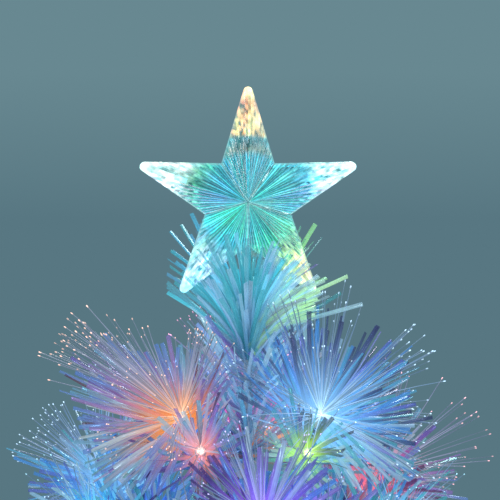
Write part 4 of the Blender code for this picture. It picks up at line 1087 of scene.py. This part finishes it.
def comb_top(random, branch, fan_path, brush, fan):
    """A top branch's strips: a cone and a veil of longer ones, and its own brush and fan, combed."""
    low_down = brush.roots[:, 2] < fan.roots[0, 2] - COMBED_DEPTH
    brush = some_of(brush, (brush.headings[:, 1] > CONE_FRONT) | low_down)
    fan = some_of(fan, fan.headings[:, 1] > FAN_FRONT)
    cone = strip_fan(random, fan_path, 0, CONE_COUNT, (66, 34, 8), (0.056, 0.062))
    cone = some_of(cone, cone.headings[:, 1] > CONE_FRONT)
    veil = strip_fan(random, fan_path, 0, VEIL_COUNT, (40, 20, 10), (0.058, 0.066))
    spread = random.uniform(-0.75, 0.75, VEIL_COUNT)
    fall = random.uniform(-0.45, 0.02, VEIL_COUNT)
    outward = np.stack([np.cos(spread), np.sin(spread), fall], axis=1)
    veil.headings[:] = outward @ np.array(branch_place(0, branch).to_3x3()).T
    veil.headings[:] /= np.linalg.norm(veil.headings, axis=1, keepdims=True)
    veil.bends[:] = (0, 0, -0.18) + random.normal(0, 0.05, (VEIL_COUNT, 3))
    for longer in (cone, fan):
        longer.lengths[:] *= spread_to_side(longer.headings, 0, branch)
    if branch == THINNED_BRANCH:
        cone = thinned(random, cone)
        fan = thinned(random, fan)
    return [cone, veil, brush, fan]


def make_film(tier, branch):
    """A brush of strips along each rod, and a fuller fan behind each light."""
    name = f"branch_{tier + 1}_{branch + 1}"
    random = np.random.default_rng(300 + 10 * tier + branch)
    place = branch_place(tier, branch)
    rise = lift_of(tier) * FILM_RISE
    shaded_side = SHADED_SIDES.get((tier, branch), (0, 0, -1))
    fans, near, lights, hues = [], [], [], []
    for line, light in twig_lines(tier):
        stem = len(line) > 2
        heading = heading_of(line)
        stop = line[-1] - heading * (HOLDER_LENGTH + HOLDER_GAP)
        path = [place @ (point + rise) for point in [*line[1 if stem else 0:-1], stop]]
        length = sum((after - before).length for before, after in zip(path, path[1:]))
        begin = FILM_BEGINS[tier] if stem else TWIG_FILM_BEGIN
        brush_count = int(length * (1 - begin) * STRIPS_PER_METRE)
        brush = strip_fan(random, path, begin, brush_count, BRUSH_LEANS, BRUSH_LENGTHS[tier])
        fan_ends = (stop - heading * FAN_OVERLAP, line[-1] - heading * FAN_END_GAP)
        fan_path = [place @ (point + rise) for point in fan_ends]
        fan_count, fan_length = (STEM_FANS if stem else TWIG_FANS)[tier]
        leans = TOP_TWIG_FAN_LEANS if tier == 0 and light else FAN_LEANS
        fan = strip_fan(random, fan_path, 0, fan_count, leans, (fan_length * 0.9, fan_length))
        own_fans, mixes = [brush, fan], [BRUSH_HUES, FAN_HUES]
        if tier == 0 and stem:
            own_fans = comb_top(random, branch, fan_path, brush, fan)
            mixes = [CONE_HUES, VEIL_HUES, *mixes]
        tip = np.array(place @ line[-1])
        for own_fan, mix in zip(own_fans, mixes):
            # How near each strip's root is to its light sets the strength of its painted glow.
            away = np.linalg.norm(own_fan.roots - tip, axis=1)
            near.append((away < NEAR_A_LIGHT).astype(int) + (away < SOME_WAY_OFF))
            lights.append(np.full(len(away), light))
            hues.append(hues_of(random, own_fan.headings, mix[tier][branch], shaded_side))
        fans += own_fans
    near, lights, hues = np.concatenate(near), np.concatenate(lights), np.concatenate(hues)
    finish = film_finish(f"{name}_film_finish", LIGHTS[tier][branch])
    piece = strips(f"{name}_film_strips", random, fans, hues, near, lights, finish)
    fitted(piece, name, "iridescent_film", f"{name}_film")
    press_flat(piece, tier, [point for line, _ in twig_lines(tier) for point in line])


for tier, branch in BRANCHES:
    make_film(tier, branch)


# The leader's strips stand up round the thin rod under the star, some in front of its lower
# arms and some behind. The star's cyan and white light on them is painted light in their emission.
LEADER_OPACITY = 0.44
LEADER_GLOW = ((0, 0.3), (0.3, 0.2), (0.6, 0.3), (0.85, 0.5), (1.0, 0.4))
LEADER_HUES = (8, 8, 13, 0, 0, 1, 1, 7)
LOW_LEADER_HUES = (12, 3, 3, 2, 1, 0, 8, 12)
# Each fan: how far behind the rod, its lowest and highest root, how many strips, and their leans
# and lengths. The plume stands up round the rod, the wings behind the arms, the shawl in front.
LOW_FAN = (0, (0.655, 0.732), 130, (60, 44, 8), (0.036, 0.048))
PLUME = (0, (0.718, 0.746), 210, (24, 24, 11), (0.050, 0.062))
WINGS = (0.004, (0.730, 0.746), 36, (30, 42, 5), (0.066, 0.082))
SHAWL = (-0.003, (0.728, 0.744), 56, (30, 30, 5), (0.050, 0.062))


def leader_fan(random, depth, heights, count, leans, lengths):
    return strip_fan(random, [Vector((0, depth, height)) for height in heights], 0.0, count, leans, lengths)


def make_leader_film():
    random = np.random.default_rng(77)
    low = leader_fan(random, *LOW_FAN)
    plume = leader_fan(random, *PLUME)
    sway = np.degrees(np.arctan2(plume.headings[:, 0], plume.headings[:, 2]))
    ahead = (sway > -25) & (random.uniform(0, 1, len(sway)) < 0.8)
    plume.headings[:, 1] = np.where(ahead, -1, 1) * np.maximum(np.abs(plume.headings[:, 1]), 0.27)
    plume.bends[:] = plume.bends * 0.4 + plume.headings * (0.6, 0.3, -0.1)
    plume.lengths[:] += 0.008 * ahead * (np.abs(plume.headings[:, 0]) < 0.25)
    wings = leader_fan(random, *WINGS)
    aside = wings.headings[:, 0]
    wings.headings[:, 0] = np.where(aside < 0, -1, 1) * np.maximum(np.abs(aside), 0.42)
    wings.headings[:, 1] = np.abs(wings.headings[:, 1]) * 0.4 + 0.36
    wings.bends[:] *= 0.5
    shawl = leader_fan(random, *SHAWL)
    count = len(shawl.roots)
    swing = np.radians(random.uniform(22, 55, count))
    forward = random.uniform(-0.62, -0.4, count)
    shawl.headings[:] = np.stack([np.sin(swing), forward, np.cos(swing)], axis=1)
    shawl.bends[:] = (0.1, 0.1, -0.14) + random.normal(0, 0.06, (count, 3))
    fans = [low, plume, wings, shawl]
    for fan in fans:
        fan.headings[:] /= np.linalg.norm(fan.headings, axis=1, keepdims=True)
    heights = np.concatenate([fan.roots[:, 2] for fan in fans])
    headings = np.concatenate([fan.headings for fan in fans])
    count, low_count = len(headings), len(low.roots)
    # Painted light: strips towards the right arm take its lime glow, and each strip's nearness sets how
    # strong its painted glow is.
    right = (headings[:, 0] > 0.36) & (heights > 0.71) & (random.uniform(0, 1, count) < 0.75)
    near = (random.uniform(0, 1, count) < 0.92).astype(int)
    near += random.uniform(0, 1, count) < 0.1 + 0.4 * right + 0.06 * (heights < 0.733)
    # Painted shade: the darkest hues go to strips that point back and down.
    hues = hues_of(random, headings, LEADER_HUES, (0, 0.6, -1))
    hues[:low_count] = hues_of(random, low.headings, LOW_LEADER_HUES)
    lights = np.where(right, 2, random.choice(2, count, p=(0.6, 0.4)))
    lights[:low_count] = 1
    finish = film_finish("leader_film_finish", ("cyan", "ice", "lime"), LEADER_OPACITY, LEADER_GLOW)
    piece = strips("leader_film_strips", random, fans, hues, near, lights, finish)
    fitted(piece, "trunk", "iridescent_film", "leader_film")
    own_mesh(piece)


make_leader_film()


# The star is two clear acrylic shells, moulded with fine ribs that run out from the centre. They
# close round a small teal board with an LED for each arm, and each arm's glow in its own colour is
# painted light in the shells' emission.
STAR_REACH = 0.0735
STAR_INNER = 0.0294
STAR_TIP_ROUNDING = 0.0030
STAR_HEIGHT = 0.825
STAR_DOME = 0.017
STAR_RIM = 0.004
STAR_WALL = 0.0016
STAR_RIB_PITCH = 3.6
STAR_RIB_DEPTH = 0.0004
STAR_EDGE_SHARE = 0.97
STAR_EDGE_DROP = 0.0008
STAR_PARTING = 0.0002
ARM_TURNS = (90, 162, 234, 306, 18)
# Each arm's painted glow: shares of the way out from the star's middle, and the colours there.
ARM_TONES = (
    ((0, (54, 174, 192)), (0.4, (66, 170, 196)), (0.46, (146, 140, 118)), (0.56, (80, 162, 178)),
     (0.59, (246, 190, 112)), (0.7, (252, 202, 132)), (0.86, (212, 132, 88)), (0.94, (250, 210, 146))),
    ((0, (54, 180, 184)), (0.25, (76, 182, 214)), (0.4, (86, 168, 172)), (0.5, (116, 220, 168)),
     (0.63, (236, 255, 236)), (1, (236, 252, 244))),
    ((0, (48, 182, 160)), (0.25, (64, 190, 166)), (0.42, (74, 194, 212)), (0.62, (210, 246, 255)),
     (1, (162, 222, 250))),
    ((0, (48, 176, 164)), (0.25, (54, 176, 164)), (0.42, (94, 220, 168)), (0.62, (212, 253, 154)),
     (0.74, (250, 232, 146)), (1, (202, 250, 200))),
    ((0, (54, 186, 190)), (0.4, (100, 186, 202)), (0.56, (112, 210, 250)), (0.65, (208, 246, 254)),
     (1, (216, 250, 254))),
)
star_place = Matrix.Translation((0, 0, STAR_HEIGHT)) @ Matrix.Rotation(math.pi / 2, 4, "X")


def star_outline(turns):
    """How far the star reaches at each turn, in degrees from an arm's axis, with its tip rounded."""
    corner = STAR_INNER * np.array([math.cos(math.radians(36)), math.sin(math.radians(36))])
    middle = np.array([STAR_REACH - STAR_TIP_ROUNDING, 0])
    line = corner - middle
    away = np.linalg.norm(line)
    lean = math.atan2(line[1], line[0]) - math.acos(STAR_TIP_ROUNDING / away)
    bows = np.linspace(0, lean, 24)
    bow = middle + STAR_TIP_ROUNDING * np.stack([np.cos(bows), np.sin(bows)], axis=1)
    edge = bow[-1] + (corner - bow[-1]) * np.linspace(0, 1, 60)[1:, None]
    points = np.concatenate([bow, edge])
    angles = np.degrees(np.arctan2(points[:, 1], points[:, 0]))
    return np.interp(turns, angles, np.linalg.norm(points, axis=1))


def arm_paint(random, turns, shares):
    """The light of the five arms' LEDs, painted into the ribbed shell, for each ring of shares and each turn.
    """
    paint = np.zeros((len(shares), len(turns), 3))
    total = np.zeros((len(shares), len(turns), 1))
    for axis, stops in zip(ARM_TURNS, ARM_TONES):
        away = np.abs((turns - axis + 180) % 360 - 180)
        weight = np.clip(1 - away / 72, 0, 1) ** 2
        weight = weight[None, :, None] ** (1 + 4 * shares[..., None])
        places = [place for place, _ in stops]
        colours = np.array([tone(*colour) for _, colour in stops])
        arm = np.stack([np.interp(shares, places, colours[:, channel]) for channel in range(3)], axis=-1)
        paint += arm * weight
        total += weight
    paint /= total
    # Towards the middle each rib has its own brightness and hue, with a painted highlight along its crest.
    ribs = (turns / STAR_RIB_PITCH).astype(int)
    flanks = np.abs(turns / STAR_RIB_PITCH % 1 - 0.5)
    painted_crest_highlight = 0.5 + 1.7 * np.exp(-((flanks / 0.16) ** 2))
    streak = np.exp(random.normal(-0.1, 0.5, ribs.max() + 1))[ribs] * painted_crest_highlight
    hue = random.uniform(0.82, 1.18, (ribs.max() + 1, 3))[ribs][None]
    # Towards the tips each groove breaks the light into dashes, a few of them dark.
    grooves = (turns / STAR_RIB_PITCH * 2).astype(int)
    bands = (shares * 24 + random.uniform(0, 1, grooves.max() + 1)[grooves][None]).astype(int)
    dash = np.exp(random.normal(-0.05, 0.5, (grooves.max() + 1, 30)))[grooves[None], bands]
    dash *= np.where(random.uniform(0, 1, (grooves.max() + 1, 30))[grooves[None], bands] < 0.14, 0.2, 1)
    # The ribs give way to the dashes on the way out, and the dashes to a plain bright cap.
    outer = np.clip((shares - 0.38) / 0.12, 0, 1)
    cap = np.clip((shares - 0.88) / 0.05, 0, 1)
    fleck = streak[None] * (1 - outer) + (dash * (1 - cap) + 1.2 * cap) * outer
    hot = 1 + 1.1 * np.clip((shares - 0.54) / 0.14, 0, 1)
    teal = 1 + (1 - outer)[..., None] * np.array((0.15, 0.55, 0.5))
    return paint * (fleck * hot)[..., None] * hue * teal


def ribbed_acrylic(name):
    material, shader = new_finish(name, tone(96, 176, 186), roughness=0.06)
    shader.inputs["IOR"].default_value = 1.49
    shader.inputs["Transmission Weight"].default_value = 0.82
    # The shell's glow is the LEDs' light painted into its emission, from the glow attribute.
    glow = add_node(material, "Attribute", attribute_name="glow").outputs["Color"]
    cloud = grain(material, own_place(material), scale=420, detail=2)
    shade = steps_of(material, cloud, [(0.3, 0.7), (0.7, 1.25)], True)
    feed(material, shader, "Emission Color", times(material, glow, shade))
    shader.inputs["Emission Strength"].default_value = 0.5
    material.cycles.emission_sampling = "NONE"
    return material


def pole_to_pole(name, rings, material):
    """A closed skin over rings of points. Its first and its last ring are single points."""
    count, columns, _ = rings.shape
    points = np.concatenate([rings[:1, 0], rings[1:-1].reshape(-1, 3), rings[-1:, 0]])
    this = np.arange(columns)
    after = (this + 1) % columns
    rows = 1 + np.arange(count - 3)[:, None] * columns
    walls = np.stack([rows + this, rows + after, rows + columns + after, rows + columns + this], axis=-1)
    last = 1 + (count - 3) * columns
    starts = np.stack([np.zeros(columns, int), 1 + after, 1 + this], axis=-1)
    ends = np.stack([np.full(columns, len(points) - 1), last + this, last + after], axis=-1)
    mesh = bpy.data.meshes.new(name)
    faces = [*walls.reshape(-1, 4).tolist(), *starts.tolist(), *ends.tolist()]
    mesh.from_pydata(points.tolist(), [], faces)
    mesh.shade_smooth()
    mesh.set_sharp_from_angle(angle=math.radians(40))
    return as_piece(name, mesh, [material])


def star_ring(radius, spokes, height):
    """Points all round the star, on each spoke at its radius and its height."""
    heights = np.broadcast_to(height, spokes.shape)
    return np.stack([radius * np.cos(spokes), radius * np.sin(spokes), heights], axis=1)


acrylic = ribbed_acrylic("ribbed_clear_acrylic")


def make_star_shell(which, facing):
    random = np.random.default_rng(5 if facing > 0 else 6)
    half = 36 * (np.arange(73) / 72) ** 1.25
    arm = np.concatenate([-half[:0:-1], half[:-1]])
    turns = (90 + 72 * np.arange(5)[:, None] + arm[None]).ravel() % 360
    reach = star_outline(np.abs(np.tile(arm, 5)))
    outer_shares = np.concatenate([[0], np.linspace(0.02, 1, 48)])
    inner_shares = np.array([1, 0.98, 0.9, 0.75, 0.55, 0.35, 0.15, 0])
    spokes = np.radians(turns)
    shrink = 1 - STAR_WALL / (STAR_INNER * math.cos(math.pi / 5))
    wave = np.abs(turns / STAR_RIB_PITCH % 1 - 0.5) * 2
    rows = []
    for share in outer_shares:
        radius = reach * share
        unevenness = 0.8 + 0.2 * np.sin(radius * 500 + turns * 2.3)
        lowered = np.minimum(STAR_RIB_DEPTH, 0.012 * radius) * wave * unevenness
        if share >= STAR_EDGE_SHARE:
            lowered = STAR_EDGE_DROP * (share - STAR_EDGE_SHARE) / (1 - STAR_EDGE_SHARE)
        rows.append(star_ring(radius, spokes, STAR_RIM + STAR_DOME * (1 - share) - lowered))
    for scale in (1, shrink):
        rows.append(star_ring(reach * scale, spokes, STAR_PARTING))
    for share in inner_shares:
        height = STAR_RIM + STAR_DOME * (1 - share) * shrink - STAR_WALL
        rows.append(star_ring(reach * share * shrink, spokes, height))
    rings = np.array(rows)

    # The arms' painted light, with painted highlight lines beside the creases between the arms, painted shade
    # along the creases, and a rim tinted by painted light.
    shares = outer_shares[:, None] * reach[None] / STAR_REACH
    paint = arm_paint(random, turns, shares)
    crease = np.radians(np.abs((turns - 90) % 72 - 36))[None] * outer_shares[:, None] * reach[None]
    painted_crease_highlight = np.exp(-(((crease - 0.0006) / 0.0003) ** 2)) * np.clip(1.25 - outer_shares, 0, 1)[:, None]
    painted_crease_highlight *= random.uniform(0.3, 1, (len(outer_shares), 1)) * random.uniform(0.4, 1, len(turns))
    painted_crease_highlight = painted_crease_highlight[..., None]
    # Painted shade darkens each crease.
    paint *= 1 - 0.7 * np.exp(-((crease / 0.00025) ** 2))[..., None]
    paint = paint * (1 - painted_crease_highlight) + painted_crease_highlight * np.array(tone(206, 246, 232)) * 1.3
    edge = (outer_shares > STAR_EDGE_SHARE)[:, None, None]
    painted_rim_light = np.clip(1.3 - 1.3 * shares[-1], 0, 0.6)[:, None]
    paint = np.where(edge, paint * (1 - painted_rim_light) + np.array(tone(120, 226, 226)) * painted_rim_light, paint)
    inside = np.zeros((len(inner_shares), len(turns), 3))
    glow = np.concatenate([paint, paint[-1:] * 0.8, paint[-1:] * 0.4, inside])
    first, last = glow[:1, 0], glow[-1:, 0]
    if facing < 0:
        rings = rings[:, ::-1] * (1, 1, -1)
        glow = glow[:, ::-1]
    glow = np.concatenate([first, glow[1:-1].reshape(-1, 3), last])

    shell = pole_to_pole(f"star_{which}_acrylic", rings, acrylic)
    layer = shell.data.attributes.new("glow", "FLOAT_COLOR", "POINT")
    layer.data.foreach_set("color", np.concatenate([glow, np.ones((len(glow), 1))], axis=1).ravel())
    shell.matrix_world = star_place
    fitted(shell, "star", "star_plastic", f"star_{which}_shell")


make_star_shell("front", 1)
make_star_shell("rear", -1)
BOARD_REACH = 0.050
BOARD_INNER = 0.015
BOARD_THICKNESS = 0.0016
BOARD_LIGHTS = ("amber", "ice", "ice", "lime", "cyan")
BOARD_LAMP = ((0, 0.008), (0.0014, 0.0074), (0.0024, 0.0052), (0.0025, 0), (0, 0))
LAMP_REACH = 0.042


def make_star_board():
    shape = bmesh.new()
    outline = []
    for step in range(10):
        angle = math.pi / 2 + math.pi * step / 5
        radius = BOARD_INNER if step % 2 else BOARD_REACH
        outline.append((radius * math.cos(angle), radius * math.sin(angle)))
    plate(shape, outline, BOARD_THICKNESS, star_place)
    for number, degrees in enumerate(ARM_TURNS, start=1):
        before = len(shape.faces)
        angle = math.radians(degrees)
        ray = Vector((math.cos(angle), math.sin(angle), 0))
        turn(shape, BOARD_LAMP, 24, star_place @ aimed(ray * LAMP_REACH, ray))
        finish_since(shape, before, number)
    board_face = moulded_plastic("teal_board", tone(70, 128, 136), 0.5)
    board = finished("star_board_lights", shape, [board_face, *(lenses[name] for name in BOARD_LIGHTS)])
    fitted(board, "star", "light_board", "star_light_board")


make_star_board()


# The socket is a clear acrylic tube that drops over the leader. The star's lower corner turns on
# its cone, under a small catch.
def clear_acrylic(name):
    material, shader = new_finish(name, tone(214, 240, 244), roughness=0.08)
    shader.inputs["IOR"].default_value = 1.49
    shader.inputs["Transmission Weight"].default_value = 0.7
    place = own_place(material)
    cloud = grain(material, place, scale=150, detail=3)
    clear = mixed(material, cloud, (*tone(196, 230, 236), 1), (*tone(226, 246, 248), 1))
    feed(material, shader, "Base Color", clear)
    rough_surface(material, shader, grain(material, place, scale=500, detail=2), depth=0.00006)
    return material


CONE_SLOPE = 0.727
CONE_RADIUS = 0.0072
CATCH_RADIUS = 0.0056
SLEEVE_RADIUS = 0.0045
SLEEVE_BORE = 0.0029
SLEEVE_FLARE = 0.0070


def make_socket():
    low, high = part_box("star_socket")
    crotch = STAR_HEIGHT - STAR_INNER - 0.0004
    rest = crotch - CONE_SLOPE * CONE_RADIUS
    bore_end = LEADER_TOP + 0.0003
    profile = [
        (0, high.z),
        (0.0050, high.z),
        (CATCH_RADIUS, high.z - 0.0006),
        (CATCH_RADIUS, high.z - 0.0012),
        (SLEEVE_RADIUS, high.z - 0.0016),
        (SLEEVE_RADIUS, crotch - CONE_SLOPE * SLEEVE_RADIUS),
        (CONE_RADIUS, rest),
        (CONE_RADIUS, rest - 0.0024),
        (0.0066, rest - 0.0030),
        (SLEEVE_RADIUS, rest - 0.0034),
        (SLEEVE_RADIUS, low.z + 0.007),
        (0.0066, low.z + 0.0006),
        (SLEEVE_FLARE, low.z),
        (SLEEVE_BORE, low.z),
        (SLEEVE_BORE, bore_end),
        (0, bore_end),
    ]
    shape = bmesh.new()
    turn(shape, profile, 64)
    piece = finished("star_socket_tube", shape, [clear_acrylic("socket_clear_acrylic")])
    fitted(piece, "socket", "star_plastic", "star_socket")


make_socket()


# The floor is plain and pale under the tree, and fades into the plain grey-teal backdrop, which
# is a little lighter towards its top.
BACKDROP = tone(88, 119, 130)
BACKDROP_TOP = tone(104, 136, 145)
FLOOR_RADIUS = 80.0
FLOOR_DROP = 0.0005
FADE_START = 0.5
FADE_END = 1.5
# One over the distance at which the backdrop starts to lighten, and at which it is lightest.
RISE_START = 0.091
RISE_END = 0.0167


def seen_directly(owner):
    """1 for what the camera, gloss and glass show, and 0 for the light that falls on the tree."""
    path = add_node(owner, "LightPath").outputs
    mirrored = math_of(owner, "MAXIMUM", path["Is Glossy Ray"], path["Is Transmission Ray"])
    return math_of(owner, "MAXIMUM", path["Is Camera Ray"], mirrored)


def plain_floor(name):
    material, shader = new_finish(name, tone(204, 214, 217), roughness=0.7)
    away = add_node(material, "VectorMath", {0: own_place(material)}, operation="LENGTH").outputs["Value"]
    span = {"Value": away, "From Min": FADE_START, "From Max": FADE_END}
    fade = add_node(material, "MapRange", span, interpolation_type="SMOOTHSTEP").outputs[0]
    span = {"Value": math_of(material, "DIVIDE", 1.0, away), "From Min": RISE_START, "From Max": RISE_END}
    rise = add_node(material, "MapRange", span).outputs[0]
    shade = mixed(material, rise, (*BACKDROP, 1), (*BACKDROP_TOP, 1))
    distant = add_node(material, "Emission", {"Color": shade, "Strength": 1.0})
    share = math_of(material, "MULTIPLY", fade, seen_directly(material))
    blend = add_node(material, "MixShader", {0: share, 1: shader.outputs[0], 2: distant.outputs[0]})
    feed(material, material.node_tree.nodes["Material Output"], "Surface", blend.outputs[0])
    material.cycles.emission_sampling = "NONE"
    return material


def make_floor():
    shape = bmesh.new()
    bmesh.ops.create_circle(shape, cap_ends=True, segments=96, radius=FLOOR_RADIUS)
    floor = finished("floor", shape, [plain_floor("pale_floor")])
    floor.location.z = -FLOOR_DROP


def make_backdrop():
    world = bpy.data.worlds.new("studio")
    bpy.context.scene.world = world
    world.use_nodes = True
    nodes = world.node_tree.nodes
    ambient = nodes["Background"]
    ambient.inputs["Color"].default_value = (*tone(236, 242, 246), 1)
    ambient.inputs["Strength"].default_value = 0.55
    backdrop = add_node(world, "Background", {"Color": (*BACKDROP_TOP, 1), "Strength": 1.0})
    shaders = {0: seen_directly(world), 1: ambient.outputs[0], 2: backdrop.outputs[0]}
    feed(world, nodes["World Output"], "Surface", add_node(world, "MixShader", shaders).outputs[0])


make_floor()
make_backdrop()


# Three soft boxes light the tree: a key at the left, a fill at the right and one behind.
TREE_MIDDLE = Vector((0, 0, 0.6))


def soft_box(name, place, size, power):
    light = bpy.data.lights.new(name, "AREA")
    light.shape = "DISK"
    light.size = size
    light.energy = power
    lamp = bpy.data.objects.new(name, light)
    bpy.context.scene.collection.objects.link(lamp)
    lamp.location = place
    lamp.rotation_euler = (TREE_MIDDLE - Vector(place)).to_track_quat("-Z", "Y").to_euler()


soft_box("key_light", (-1.5, -1.7, 2.0), size=1.1, power=22)
soft_box("fill_light", (1.9, -1.2, 1.2), size=1.3, power=10)
soft_box("rim_light", (0.6, 2.0, 1.9), size=1.0, power=20)


# The camera looks at the star from the front and a little above, as the photograph does.
CAMERA_AIM = Vector((0.0013, 0, 0.7925))
CAMERA_DISTANCE = 1.6
CAMERA_RISE = math.radians(5)
FRAME_WIDTH = 0.325
SENSOR_WIDTH = 36
camera_data = bpy.data.cameras.new("camera")
camera = bpy.data.objects.new("camera", camera_data)
bpy.context.scene.collection.objects.link(camera)
bpy.context.scene.camera = camera
back = Vector((0, -math.cos(CAMERA_RISE), math.sin(CAMERA_RISE)))
camera.location = CAMERA_AIM + back * CAMERA_DISTANCE
camera.rotation_euler = (-back).to_track_quat("-Z", "Y").to_euler()
camera_data.sensor_width = SENSOR_WIDTH
camera_data.lens = SENSOR_WIDTH * CAMERA_DISTANCE / FRAME_WIDTH
camera_data.clip_start = 0.05
camera_data.clip_end = 200
bpy.context.scene.view_settings.view_transform = "Standard"
